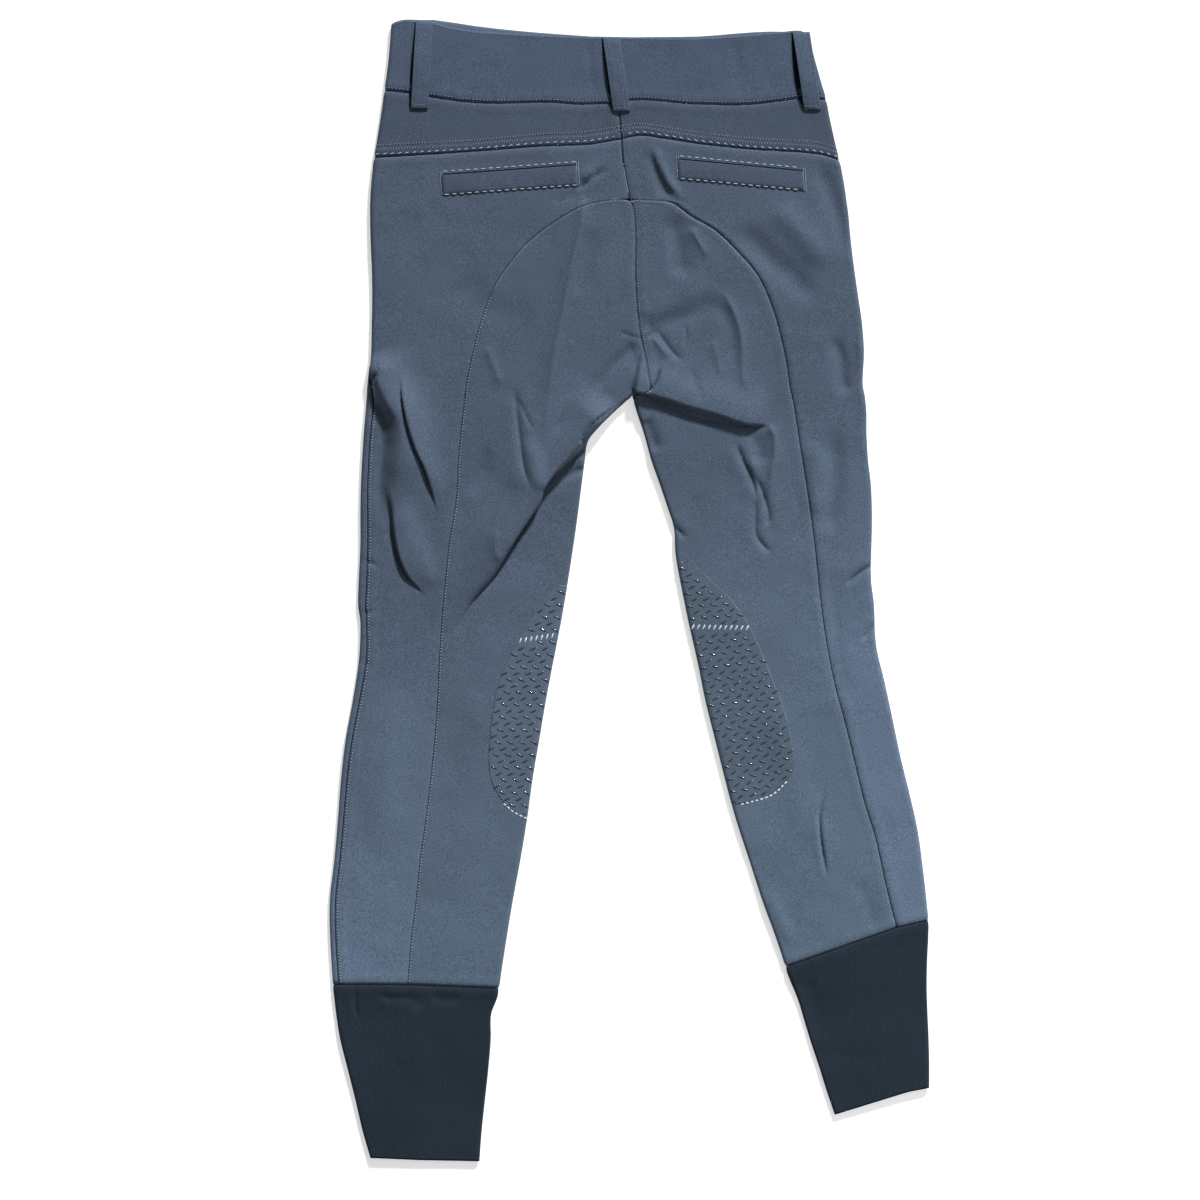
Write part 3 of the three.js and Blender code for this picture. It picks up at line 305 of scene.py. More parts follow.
def table(rows):
    values = np.array([[math.nan if v is None else v for v in row] for row in rows], float)
    for to, source in ((2, 4), (3, 5)):
        empty = np.isnan(values[:, to])
        values[empty, to] = values[empty, source]
    return values


def smooth(f):
    g = np.clip(f, 0, 1)
    return g * g * (3 - 2 * g)


def to_y(down):
    return LENGTH / 2 - down


def unit(v):
    return v / np.maximum(np.linalg.norm(v, axis=-1, keepdims=True), 1e-12)


def way_along(points):
    """Distance from the first point of a line to each of its points."""
    return np.concatenate([[0], np.cumsum(np.linalg.norm(np.diff(points, axis=0), axis=-1))])


def spline(values, at, corners=()):
    """Smooth value at a fractional row, with a corner at the rows named."""
    last = len(values) - 1
    at = np.clip(np.asarray(at, float), 0, last)
    i = np.minimum(np.floor(at).astype(int), last - 1)
    f = at - i
    stops = np.array(sorted({0, *corners, last}))
    low = stops[np.searchsorted(stops, i, side="right") - 1]
    high = stops[np.searchsorted(stops, i, side="right")]
    p0, p1 = values[np.maximum(i - 1, low)], values[i]
    p2, p3 = values[i + 1], values[np.minimum(i + 2, high)]
    m1 = (p2 - p0) / np.where(i > low, 2, 1)
    m2 = (p3 - p1) / np.where(i + 2 <= high, 2, 1)
    f2, f3 = f * f, f * f * f
    return ((2 * f3 - 3 * f2 + 1) * p1 + (f3 - 2 * f2 + f) * m1
            + (3 * f2 - 2 * f3) * p2 + (f3 - f2) * m2)


def along_curve(curve, x):
    """Second value of a curve's points at the first value x."""
    points = np.array(curve, float)
    i = np.clip(np.searchsorted(points[:, 0], x, side="right") - 1, 0, len(points) - 2)
    f = (x - points[i, 0]) / (points[i + 1, 0] - points[i, 0])
    return spline(points[:, 1], np.clip(i + f, 0, len(points) - 1))


def sample_path(path):
    """Smooth path through points given as X and down, as X and Y."""
    points = np.array([(x, to_y(down)) for x, down in path], float)
    at = np.linspace(0, len(points) - 1, (len(points) - 1) * FOLD_STEPS + 1)
    return np.stack([spline(points[:, 0], at), spline(points[:, 1], at)], axis=1)


def nearest(path, x, y):
    """Distance to a path, signed distance (left negative) and part of its way."""
    best = np.full(x.shape, 1e9)
    signed = np.zeros(x.shape)
    part = np.zeros(x.shape)
    count = len(path) - 1
    for i in range(count):
        ax, ay = path[i]
        dx, dy = path[i + 1] - path[i]
        f = np.clip(((x - ax) * dx + (y - ay) * dy) / (dx * dx + dy * dy), 0, 1)
        rx, ry = x - ax - f * dx, y - ay - f * dy
        distance = np.hypot(rx, ry)
        closer = distance < best
        best = np.where(closer, distance, best)
        side = np.where(dx * ry - dy * rx > 0, -distance, distance)
        signed = np.where(closer, side, signed)
        part = np.where(closer, (i + f) / count, part)
    return best, signed, part


class Fold:
    def __init__(self, kind, height, width, start, end, path):
        self.kind, self.height, self.width = kind, height, width
        self.start, self.end = start, end
        self.path = sample_path(path)
        reach = 3 * width * (CREASE_SIDE_WIDTH if kind == "crease" else 1)
        self.low = self.path.min(axis=0) - reach
        self.high = self.path.max(axis=0) + reach

    def near(self, x, y):
        return ((x > self.low[0]) & (x < self.high[0]) & (y > self.low[1]) & (y < self.high[1]))

    def taper(self, part):
        return smooth(part / self.start) * smooth((1 - part) / self.end)

    def lift(self, x, y):
        distance, signed, part = nearest(self.path, x, y)
        bell = np.exp(-((distance / self.width) ** 2))
        if self.kind == "ridge":
            return self.height * self.taper(part) * bell
        if self.kind == "trough":
            return -self.height * self.taper(part) * bell
        away = np.sqrt(distance ** 2 + CREASE_ROUND ** 2) - CREASE_ROUND
        if self.kind == "pinch":
            return self.height * self.taper(part) * np.exp(-away / self.width)
        if self.kind == "groove":
            return -self.height * self.taper(part) * np.exp(-away / self.width)
        if self.kind == "crease":
            sides = CREASE_SIDES * np.exp(-((distance / (CREASE_SIDE_WIDTH * self.width)) ** 2))
            deep = (1 + CREASE_SIDES) * np.exp(-away / self.width)
            return self.height * self.taper(part) * (sides - deep)


class Lap:
    def __init__(self, height, width, start, end, drops, hang, path):
        self.height, self.width, self.start, self.end = height, width, start, end
        self.drops, self.hang_over = drops, hang
        self.path = sample_path(path)
        self.low = self.path.min(axis=0) - 3 * width
        self.high = self.path.max(axis=0) + 3 * width

    near, taper = Fold.near, Fold.taper

    def drop_at(self, part):
        return np.interp(part, (0, LAP_MIDDLE, 1), self.drops)

    def lift(self, x, y):
        _, signed, part = nearest(self.path, x, y)
        drop = self.drop_at(part)
        raised = np.where(signed < 0, np.exp(-((signed / self.width) ** 2)), 1 - smooth(signed / drop))
        wide = LAP_HOLLOW["width"] * drop + LAP_HOLLOW["least"]
        hollow = np.exp(-(((signed - drop) / wide) ** 2)) * smooth(signed / drop)
        return self.height * self.taper(part) * (raised - LAP_HOLLOW["share"] * hollow)

    def hang(self, x, y):
        """Sideways shift of the cloth at the lip, so that it hangs over."""
        _, signed, part = nearest(self.path, x, y)
        drop = self.drop_at(part)
        reach = np.where(signed < 0, LAP_LIP, 0.5 * drop + 1)
        shift = self.hang_over * np.exp(-drop / LAP_STIFF) * self.taper(part)
        shift = shift * np.exp(-((signed / reach) ** 2))
        i = np.clip((part * (len(self.path) - 1)).astype(int), 0, len(self.path) - 2)
        along = unit(self.path[i + 1] - self.path[i])
        return shift * along[..., 1], -shift * along[..., 0]


laps = [Lap(*row) for row in LAPS]
folds = [Fold(*row) for row in FOLDS] + laps


def over_folds(chosen, method, x, y, out):
    for fold in chosen:
        mask = fold.near(x, y)
        if mask.any():
            values = getattr(fold, method)(x[mask], y[mask])
            for total, value in zip(out, values if isinstance(values, tuple) else (values,)):
                total[mask] += value


def drift(x, y, size, seed):
    """Smooth random relief between -1 and 1, with hills of the given size."""
    lattice = np.random.default_rng(seed).uniform(-1, 1, (LATTICE, LATTICE))
    u, v = x / size + LATTICE, y / size + LATTICE
    i, j = np.floor(u).astype(int), np.floor(v).astype(int)
    fu, fv = smooth(u - i), smooth(v - j)
    i, j, k, m = i % LATTICE, j % LATTICE, (i + 1) % LATTICE, (j + 1) % LATTICE
    low = lattice[i, j] * (1 - fu) + lattice[k, j] * fu
    high = lattice[i, m] * (1 - fu) + lattice[k, m] * fu
    return low * (1 - fv) + high * fv


def height_at(x, y, wall=CLOTH):
    """Height of the upper layer's middle line."""
    x, y = np.broadcast_arrays(np.asarray(x, float), np.asarray(y, float))
    total = np.array(along_curve(REST_HEIGHT, to_y(y)), float)
    over_folds(folds, "lift", x, y, (total,))
    for size, height, seed in RELIEF:
        total += height * drift(x, y, size, seed)
    least = LEAST_RISE + 1.5 * (wall - CLOTH)
    slack = 0.5
    return least + slack * np.log1p(np.exp(np.clip((total - least) / slack, -40, 40)))


def overhang(x, y):
    dx, dy = np.zeros(x.shape), np.zeros(x.shape)
    over_folds(laps, "hang", x, y, (dx, dy))
    return dx, dy


# One half of the garment, or one cuff, with the shape of its sections
class Half:
    def __init__(self, rows, side, is_cuff):
        self.sections, self.side, self.is_cuff = table(rows), side, is_cuff
        self.last = len(rows) - 1
        self.corners = {} if is_cuff else {
            "outer": (ROW_BAND_SEAM,), "seam": (ROW_BAND_SEAM, ROW_SEAT_TIP),
            "inner": (ROW_BAND_SEAM, ROW_BACK_SEAM_END, ROW_CROTCH),
        }

    def value(self, name, row):
        return spline(self.sections[:, SECTION.index(name)], row)

    def place(self, which, row):
        corners = self.corners.get(which, ())
        x = spline(self.sections[:, SECTION.index(which + "X")], row, corners)
        down = spline(self.sections[:, SECTION.index(which + "Down")], row, corners)
        return np.stack([x, to_y(down)], axis=-1)

    def bow(self, row, x):
        total = np.zeros(x.shape)
        if self.is_cuff:
            return total
        here, there = self.place("outer", row), self.place("inner", row)
        f = np.clip((x - here[..., 0]) / (there[..., 0] - here[..., 0]), 0, 1)
        for centre, curve in BOWED_ROWS:
            weight = np.maximum(0, 1 - np.abs(row - centre) / BOW_REACH)
            a, b = self.place("outer", float(centre)), self.place("inner", float(centre))
            straight = a[1] + (b[1] - a[1]) * f
            total += weight * (to_y(along_curve(curve, a[0] + (b[0] - a[0]) * f)) - straight)
        return total

    def roll_share(self, edge, row):
        if edge == "outer" or self.is_cuff:
            return np.ones(row.shape)
        start = ROW_BACK_SEAM_END + 0.5
        return smooth((row - start) / (ROW_CROTCH - start))


def roll_length(half_rise):
    return (math.pi / 2) * half_rise * (1 + EDGE_SHAPE) / 2


def half_rise_at(half, edge, row, wall):
    start, goal = half.place(edge, row), half.place("seam", row)
    same = np.linalg.norm(goal - start, axis=-1, keepdims=True) < 1e-6
    goal = np.where(same, half.place("outer", row), goal)
    inward = goal - start
    length = np.linalg.norm(inward, axis=-1, keepdims=True)
    inward /= length
    probe = start + inward * EDGE_REACH
    half_rise = (height_at(probe[..., 0], probe[..., 1], wall) - wall / 2) / 2
    return start, inward, length[..., 0], half_rise


def on_cloth(half, row, edge, q, wall):
    """Points of the middle line. row has one value a line, q one a point: the
    way along the cloth from the edge, on top where positive."""
    row = np.asarray(row, float)[:, None]
    start, inward, _, half_rise = half_rise_at(half, edge, row, wall)
    reach = EDGE_SHAPE * half_rise
    quarter = roll_length(half_rise)
    roll = half.roll_share(edge, row)
    angle = np.clip(q / quarter, -1, 1) * math.pi / 2
    past = np.maximum(0, np.abs(q) - quarter)
    depth = wall / 2 + reach * (1 - np.cos(angle)) + past
    way = np.abs(q) + (depth - np.abs(q)) * roll
    x = start[..., 0] + inward[..., 0] * way
    y = start[..., 1] + inward[..., 1] * way
    y = y + half.bow(row, x)
    low = wall / 2
    top = height_at(x, y, wall)
    turned = low + half_rise + half_rise * np.sin(angle)
    z = top + (turned - top) * roll
    z = np.where(q >= quarter, top, z)
    z = np.where((q < 0) & (-q >= quarter), low, z)
    dx, dy = overhang(x, y)
    upper = smooth((q - quarter * 0.5) / quarter) if edge == "outer" else smooth(q / 6)
    upper = np.where(roll > 0.5, upper, 1.0)
    return np.stack([x + dx * upper, y + dy * upper, z], axis=-1)


def to_seam(half, row, edge, wall):
    row = np.asarray(row, float)[:, None]
    _, _, length, half_rise = half_rise_at(half, edge, row, wall)
    rolled = length - wall / 2 - EDGE_SHAPE * half_rise + roll_length(half_rise)
    return np.where(half.roll_share(edge, row) < 1, length, rolled)[:, 0]


def slant_gap(half, row, gap):
    step = 0.1
    along = unit(half.place("seam", row + step) - half.place("seam", row))
    across = unit(half.place("seam", row) - half.place("outer", row))
    sine = np.abs(along[:, 0] * across[:, 1] - along[:, 1] * across[:, 0])
    return np.where(row <= ROW_SEAT_TIP, gap, gap / np.maximum(0.12, sine))


def stretch(*parts):
    """Columns from stretches (from, to, count), each value one for a row."""
    out = []
    for k, (a, b, count) in enumerate(parts):
        f = np.linspace(0, 1, count + 1)[1 if k else 0:]
        out.append(a[:, None] + (b - a)[:, None] * f[None, :])
    return np.concatenate(out, axis=1)


# Fineness of the shells: columns in each stretch, millimetres between rows
EDGE_COLUMNS = 14
HIP_COLUMNS = 82
SEAT_COLUMNS = 88
TURN_COLUMNS = 18
TUCK_COLUMNS = 6
FRONT_COLUMNS = 18
ROW_STEP = 2.0
FINE_ROW_STEP = 1.35
FINE_DOWN = (140, 520)


def hip_grid(half, row, wall, gap):
    start = half.value("out", row) + gap
    end = to_seam(half, row, "outer", wall) - slant_gap(half, row, gap)
    close = np.maximum(8.0, start + 8.0)
    q = stretch((start, close, EDGE_COLUMNS), (close, end, HIP_COLUMNS))
    return on_cloth(half, row, "outer", q, wall)


def seat_grid(half, row, wall, gap):
    last = gap - half.value("tuck", row)
    end = to_seam(half, row, "inner", wall) - slant_gap(half, row, gap)
    folded_start = np.minimum(8.0, end * 0.6)
    folded_end = np.maximum(-8.0, last + 0.4)
    if half.is_cuff:
        opened = np.zeros(row.shape)
    else:
        opened = 1 - smooth((row - ROW_SEAT_TIP - 3) / 6)
    a = folded_start + (end * 0.35 - folded_start) * opened
    b = folded_end + (end * 0.12 - folded_end) * opened
    q = stretch((end, a, SEAT_COLUMNS), (a, b, TURN_COLUMNS), (b, last, TUCK_COLUMNS))
    return on_cloth(half, row, "inner", q, wall)


def front_grid(half, row, wall, gap):
    start = half.value("out", row) - gap
    tuck = half.value("tuck", row)
    close = np.minimum(-8.0, start - 6.0)
    side = on_cloth(half, row, "outer", stretch((start, close, EDGE_COLUMNS)), wall)
    below = np.full(row.shape, True) if half.is_cuff else row >= ROW_CROTCH
    near = -gap - tuck
    far = np.minimum(near - 4.0, -10.0)
    leg = on_cloth(half, row, "inner", stretch((far, near, 6)), wall)
    inner_y = half.place("inner", row)[:, 1]
    crotch = 0.0 if half.is_cuff else half.sections[ROW_CROTCH, SECTION.index("innerDown")]
    centre = FRONT_SEAM_X[0] + (FRONT_SEAM_X[1] - FRONT_SEAM_X[0]) * to_y(inner_y) / max(crotch, 1)
    offset = np.linspace(12, 0, 7)[None, :]
    trunk = np.stack([
        centre[:, None] + half.side * (gap + offset),
        np.repeat(inner_y[:, None], 7, axis=1), np.full((len(row), 7), wall / 2),
    ], axis=-1)
    inner = np.where(below[:, None, None], leg, trunk)
    f = np.linspace(0, 1, FRONT_COLUMNS + 1)[1:-1][None, :, None]
    between = side[:, -1:, :] + (inner[:, :1, :] - side[:, -1:, :]) * f
    shift = half.bow(row[:, None], between[..., 0]) * np.sin(math.pi * f[..., 0])
    between[..., 1] += shift
    return np.concatenate([side, between, inner], axis=1)


def rows_between(half, start, end, trim_start=True, trim_end=True, step=None):
    """Fractional rows, evenly spaced along the middle of a half."""
    fine = np.linspace(start, end, 2000)
    middle = (half.place("outer", fine) + half.place("inner", fine)) / 2
    pace = np.maximum(np.linalg.norm(np.diff(middle, axis=0), axis=1), 1e-4)
    down = to_y(middle[:-1, 1])
    wanted = np.full(down.shape, step or ROW_STEP)
    if step is None:
        wanted[(down > FINE_DOWN[0]) & (down < FINE_DOWN[1])] = FINE_ROW_STEP
    steps = np.concatenate([[0], np.cumsum(pace / wanted)])
    count = max(3, int(round(steps[-1])))
    rows = np.interp(np.linspace(0, steps[-1], count + 1), steps, fine)
    for index, trimmed in ((0, trim_start), (-1, trim_end)):
        if trimmed:
            here = rows[index]
            low, high = max(here - 0.1, 0), min(here + 0.1, half.last)
            span = np.linalg.norm(half.place("outer", high) - half.place("outer", low))
            shift = SEAM_GAP / 2 * (high - low) / span
            rows[index] += shift if index == 0 else -shift
    return rows


def grid_normals(points, closed, lower=False):
    """Normals on the outer side of a grid: upwards on top, or downwards below
    for a piece of the lower layer."""
    down = np.gradient(points, axis=0)
    if closed:
        across = np.roll(points, -1, axis=1) - np.roll(points, 1, axis=1)
    else:
        across = np.gradient(points, axis=1)
    normals = unit(np.cross(down, across))
    if lower:
        sign = -np.sign(normals[..., 2][points[..., 2] < CLOTH].sum())
    else:
        sign = np.sign(normals[..., 2][points[..., 2] > LEAST_RISE * 0.8].sum())
    return normals * sign, sign


def grid_faces(rows, columns, across):
    """Four-cornered faces of a grid, of which across lie in a row."""
    i, j = np.meshgrid(np.arange(rows - 1), np.arange(across), indexing="ij")
    k = (j + 1) % columns
    low, high = i * columns, (i + 1) * columns
    return np.stack([low + j, high + j, high + k, low + k], -1).reshape(-1, 4)


def wall_arrays(points, thickness, closed=False, lower=False):
    """Closed wall round a grid of middle points. The outer skin has every
    point of the grid and the inner one every second point."""
    rows, columns = points.shape[:2]
    normals, sign = grid_normals(points, closed, lower)
    outer = (points + normals * thickness / 2).reshape(-1, 3)
    line_i = sorted({*range(0, rows, 2), rows - 1})
    line_j = sorted({*range(0, columns, 2), columns - (0 if closed else 1)})
    whole = np.array([j for j in line_j if j < columns])
    inner = (points - normals * thickness / 2)[np.array(line_i)][:, whole].reshape(-1, 3)
    count, width = rows * columns, len(whole)
    skin = grid_faces(rows, columns, columns if closed else columns - 1)
    back = grid_faces(len(line_i), width, len(line_j) - 1)[:, ::-1] + count
    faces = skin.tolist() + back.tolist()
    for i, at in ((0, 0), (len(line_i) - 1, rows - 1)):
        for j in range(len(line_j) - 1):
            edge = [at * columns + c % columns for c in range(line_j[j], line_j[j + 1] + 1)]
            rim = [count + i * width + j, *edge, count + i * width + (j + 1) % width]
            faces.append(rim if at == 0 else rim[::-1])
    if not closed:
        for j, at in ((0, 0), (width - 1, columns - 1)):
            for i in range(len(line_i) - 1):
                edge = [r * columns + at for r in range(line_i[i], line_i[i + 1] + 1)]
                rim = [count + i * width + j, *edge, count + (i + 1) * width + j]
                faces.append(rim[::-1] if at == 0 else rim)
    if sign < 0:
        faces = [face[::-1] for face in faces]
    vertices = np.concatenate([outer, inner])
    vertices[:, 2] = np.maximum(vertices[:, 2], 0)
    return vertices, faces


# Seams: how the cloth sinks into its stitching, and the puckers beside it
SEAM_DIP, SEAM_DIP_WIDTH = 0.65, 1.3
# Shares of these that a seam shows: sinking, puckers and how far those reach
SEAM_LOOKS = {"plain": (1, 1, 1), "faint": (0.25, 0.8, 1), "ruffled": (1, 2.4, 2.2)}
SEAT_SEAM_LOOK = {"left": "faint", "right": "plain"}
SEAM_SWELL, SEAM_SWELL_AWAY, SEAM_SWELL_WIDTH = 0.22, 5.5, 3.0
PUCKER, PUCKER_REACH, PUCKER_LENGTH = 0.16, 6.0, 11.0


def border_distance(points, border):
    """Way from a border of the grid, and the way along that border."""
    axis = 1 if border in ("first_column", "last_column") else 0
    steps_in = np.linalg.norm(np.diff(points, axis=axis), axis=-1)
    zero = np.zeros_like(np.take(steps_in, [0], axis=axis))
    if border.startswith("first"):
        away = np.concatenate([zero, np.cumsum(steps_in, axis=axis)], axis=axis)
    else:
        back = np.flip(np.cumsum(np.flip(steps_in, axis), axis=axis), axis)
        away = np.concatenate([back, zero], axis=axis)
    index = 0 if border.startswith("first") else -1
    along = way_along(np.take(points, index, axis=axis))
    return away, (along[:, None] if axis == 1 else along[None, :])


def sew(points, borders, closed=False, lower=False, seed=1):
    """Sink and pucker a grid along the borders sewn, each named with its look."""
    normals, _ = grid_normals(points, closed, lower)
    move = np.zeros(points.shape[:2])
    for number, (border, look) in enumerate(borders.items()):
        deep, ruffled, wide = SEAM_LOOKS[look]
        away, along = border_distance(points, border)
        wobble = 2.2 * drift(along, 0 * along + 7 * number, 37, seed + number)
        size = 0.55 + 0.45 * drift(along, 0 * along + 11 * number, 24, seed + 20 + number)
        wave = np.sin(2 * math.pi * along / PUCKER_LENGTH + 2 * math.pi * wobble)
        move -= deep * SEAM_DIP * np.exp(-((away / SEAM_DIP_WIDTH) ** 2))
        move += deep * SEAM_SWELL * np.exp(-(((away - SEAM_SWELL_AWAY) / SEAM_SWELL_WIDTH) ** 2))
        move += ruffled * PUCKER * size * wave * np.exp(-away / (wide * PUCKER_REACH))
    return points + normals * move[..., None]


def add_mesh(name, vertices, faces, material, smooth_faces=True):
    mesh = bpy.data.meshes.new(name)
    mesh.from_pydata((np.asarray(vertices) * MM).tolist(), [], faces)
    mesh.polygons.foreach_set("use_smooth", [smooth_faces] * len(mesh.polygons))
    mesh.materials.append(material)
    mesh.update()
    piece = bpy.data.objects.new(name, mesh)
    bpy.context.collection.objects.link(piece)
    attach(piece, "root")
    return piece


# Materials
class Surface:
    """A material. Each of its nodes is made, set and linked by one call."""

    def __init__(self, name, look):
        self.material = bpy.data.materials.new(name)
        self.material.use_nodes = True
        tree = self.material.node_tree
        self.nodes, self.links = tree.nodes, tree.links
        self.shader = self.nodes["Principled BSDF"]
        self.fill(self.shader, look)

    def fill(self, node, inputs):
        for key, value in inputs.items():
            if isinstance(value, bpy.types.NodeSocket):
                self.links.new(value, node.inputs[key])
            else:
                node.inputs[key].default_value = value

    def node(self, kind, inputs, **settings):
        node = self.nodes.new("ShaderNode" + kind)
        for key, value in settings.items():
            setattr(node, key, value)
        self.fill(node, inputs)
        return node.outputs

    def ramp(self, fac, low, high, start=0.3, end=0.7):
        node = self.nodes.new("ShaderNodeValToRGB")
        for element, place, colour in zip(node.color_ramp.elements, (start, end), (low, high)):
            element.position, element.color = place, (*colour, 1)
        self.links.new(fac, node.inputs["Fac"])
        return node.outputs["Color"]

    def noise(self, coords, scale, detail):
        return self.node("TexNoise", {"Vector": coords, "Scale": scale, "Detail": detail})["Fac"]

    def flecks(self, coords, colour, scale, detail, spread):
        """A colour with flecks that are lighter and darker by a share of it."""
        low, high = (scaled(colour, 1 - spread), scaled(colour, 1 + spread))
        return self.ramp(self.noise(coords, scale, detail), low, high)

    def mix(self, kind, a, b):
        return self.node("Mix", {"Factor": 1.0, 6: a, 7: b}, data_type="RGBA", blend_type=kind)[2]

    def bump(self, height, strength, distance, **below):
        inputs = {"Height": height, "Strength": strength, "Distance": distance, **below}
        return self.node("Bump", inputs)["Normal"]


def linear(r, g, b):
    """Screen colour 0 to 255 as scene colour."""
    return tuple((v / 255 / 12.92) if v / 255 <= 0.04045 else ((v / 255 + 0.055) / 1.055) ** 2.4
                 for v in (r, g, b))


def scaled(colour, factor):
    return tuple(min(1.0, c * factor) for c in colour)


TWILL_LOOK = {"Roughness": 0.8, "Specular IOR Level": 0.2, "Sheen Weight": 0.08, "Sheen Roughness": 0.45}
KNIT_LOOK = {"Roughness": 0.9, "Specular IOR Level": 0.2, "Sheen Weight": 0.04}
GREY = (0.5, 0.5, 0.5)
# Flecks and clouds: scale, detail, how much lighter and darker than the colour
TWILL_FLECKS = (1000, 3, 0.38)
TWILL_CLOUDS = ((9, 3, 0.07), (60, 3, 0.03))
KNIT_FLECKS = (600, 2, 0.2)
KNIT_CLOUDS = (14, 3, 0.12)
PLAIN_FLECKS = (500, 2, 0.15)
# Relief of the weave, its fuzz and the knit: scale, strength, height in metres
TWILL_LINES = (330, 0.4, 0.00012)
TWILL_FUZZ = (1400, 0.2, 0.0001)
KNIT_WALES = (300, 0.6, 0.0002)
# Painted light: where the legs' colour gets lighter towards the cuffs, standing
# in for brighter light on the lower legs, in metres along a direction that
# leans, because the right one does so sooner
PAINTED_LIGHT_ALONG = (-0.45, 1, 0)
PAINTED_LIGHT_FROM, PAINTED_LIGHT_TO = 0.1, -0.2


def twill(name, colour, grain_degrees, lower=(1, 1, 1)):
    """Fine diagonal weave with flecks; lower is how much lighter the legs are painted towards the cuffs, as
    painted light.
    """
    surface = Surface(name, TWILL_LOOK)
    coords = surface.node("TexCoord", {})["Object"]
    # Painted light: the colour is multiplied lighter towards the cuffs.
    down = surface.node("VectorMath", {0: coords, 1: PAINTED_LIGHT_ALONG}, operation="DOT_PRODUCT")["Value"]
    span = surface.node("MapRange", {"Value": down, "From Min": PAINTED_LIGHT_FROM, "From Max": PAINTED_LIGHT_TO})["Result"]
    painted_light = surface.ramp(span, (1, 1, 1), lower, 0, 1)
    grain = (0, 0, math.radians(grain_degrees))
    coords = surface.node("Mapping", {"Vector": coords, "Rotation": grain})["Vector"]
    tone = surface.flecks(coords, colour, *TWILL_FLECKS)
    for cloud in TWILL_CLOUDS:
        tone = surface.mix("SOFT_LIGHT", tone, surface.flecks(coords, GREY, *cloud))
    scale, *relief = TWILL_LINES
    lines = surface.node("TexWave", {"Vector": coords, "Scale": scale, "Distortion": 1.2, "Detail": 1.0},
                         wave_type="BANDS", bands_direction="DIAGONAL")["Fac"]
    weave = surface.bump(lines, *relief)
    scale, *relief = TWILL_FUZZ
    fuzz = surface.bump(surface.noise(coords, scale, 2), *relief, Normal=weave)
    surface.fill(surface.shader, {"Base Color": surface.mix("MULTIPLY", tone, painted_light), "Normal": fuzz})
    return surface.material


def knit(name, colour):
    surface = Surface(name, KNIT_LOOK)
    coords = surface.node("TexCoord", {})["Object"]
    fine = surface.flecks(coords, colour, *KNIT_FLECKS)
    tone = surface.mix("SOFT_LIGHT", fine, surface.flecks(coords, GREY, *KNIT_CLOUDS))
    scale, *relief = KNIT_WALES
    wales = surface.node("TexWave", {"Vector": coords, "Scale": scale, "Distortion": 0.6},
                         wave_type="BANDS", bands_direction="X")["Fac"]
    surface.fill(surface.shader, {"Base Color": tone, "Normal": surface.bump(wales, *relief)})
    return surface.material


def plain(name, colour, roughness, specular=0.4, coat=0.0):
    surface = Surface(name, {"Roughness": roughness, "Specular IOR Level": specular, "Coat Weight": coat})
    coords = surface.node("TexCoord", {})["Object"]
    surface.fill(surface.shader, {"Base Color": surface.flecks(coords, linear(*colour), *PLAIN_FLECKS)})
    return surface.material


SLATE = linear(67, 80, 97)
# The last values are painted light: the hip and seat panels are painted lighter towards the cuffs.
twill_hip = twill("twill_hip", SLATE, 20, (1.52, 1.52, 1.52))
twill_seat = twill("twill_seat", SLATE, -25, (1.28, 1.31, 1.27))
twill_yoke = twill("twill_yoke", linear(61, 73, 90), 12)
twill_band = twill("twill_band", linear(66, 79, 98), 70)
cuff_knit = knit("cuff_knit", linear(24, 37, 48))
thread_light = plain("thread_light", (152, 162, 176), 0.55)
thread_tone = plain("thread_tone", (118, 130, 148), 0.6)
# Dark thread of the cuff rows, also used as painted shade in the stitch holes.
dark_thread_and_hole_shade = plain("dark_thread_and_hole_shade", (34, 42, 56), 0.6)
# Painted shade: a dark colour for sheets and tubes put in the deeper seam grooves, the pocket slits and
# beside the belt loops, where there is only shade
painted_shade = plain("painted_shade", (20, 25, 34), 0.9, 0.1)
silicone = plain("silicone", (42, 52, 64), 0.2, 0.7, 0.5)
films = {"left": plain("film_left", (74, 88, 104), 0.6, 0.25),
         "right": plain("film_right", (70, 84, 99), 0.6, 0.25)}
silver_print = plain("silver_print", (186, 196, 208), 0.4, 0.6)

left = Half(LEFT_SECTIONS, -1, False)
right = Half(RIGHT_SECTIONS, 1, False)
halves = {"left": left, "right": right}
cuffs = {"left": Half(LEFT_CUFF, -1, True), "right": Half(RIGHT_CUFF, 1, True)}
gap = SEAM_GAP / 2


def add_cloth(node, points, wall, material, borders={}, closed=False, lower=False):
    points = sew(points, borders, closed, lower, seed=sum(map(ord, node)))
    vertices, faces = wall_arrays(points, wall, closed, lower)
    piece = add_mesh("cloth_" + node, vertices, faces, material)
    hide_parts(node)
    return piece


def make_waistband():
    rows = {name: rows_between(half, ROW_WAIST, ROW_BAND_SEAM, False, True)
            for name, half in halves.items()}
    count = max(len(r) for r in rows.values())
    for name in rows:
        rows[name] = np.interp(np.linspace(0, 1, count), np.linspace(0, 1, len(rows[name])), rows[name])
    back = np.concatenate([
        hip_grid(left, rows["left"], BAND, 0.0),
        hip_grid(right, rows["right"], BAND, 0.0)[:, ::-1][:, 1:],
    ], axis=1)
    add_cloth("waistband_back", back, BAND, twill_band, borders={"last_row": "ruffled"})
    for name, half in halves.items():
        front = front_grid(half, rows[name], BAND, gap)
        add_cloth("waistband_front_" + name, front, BAND, twill_band, lower=True)


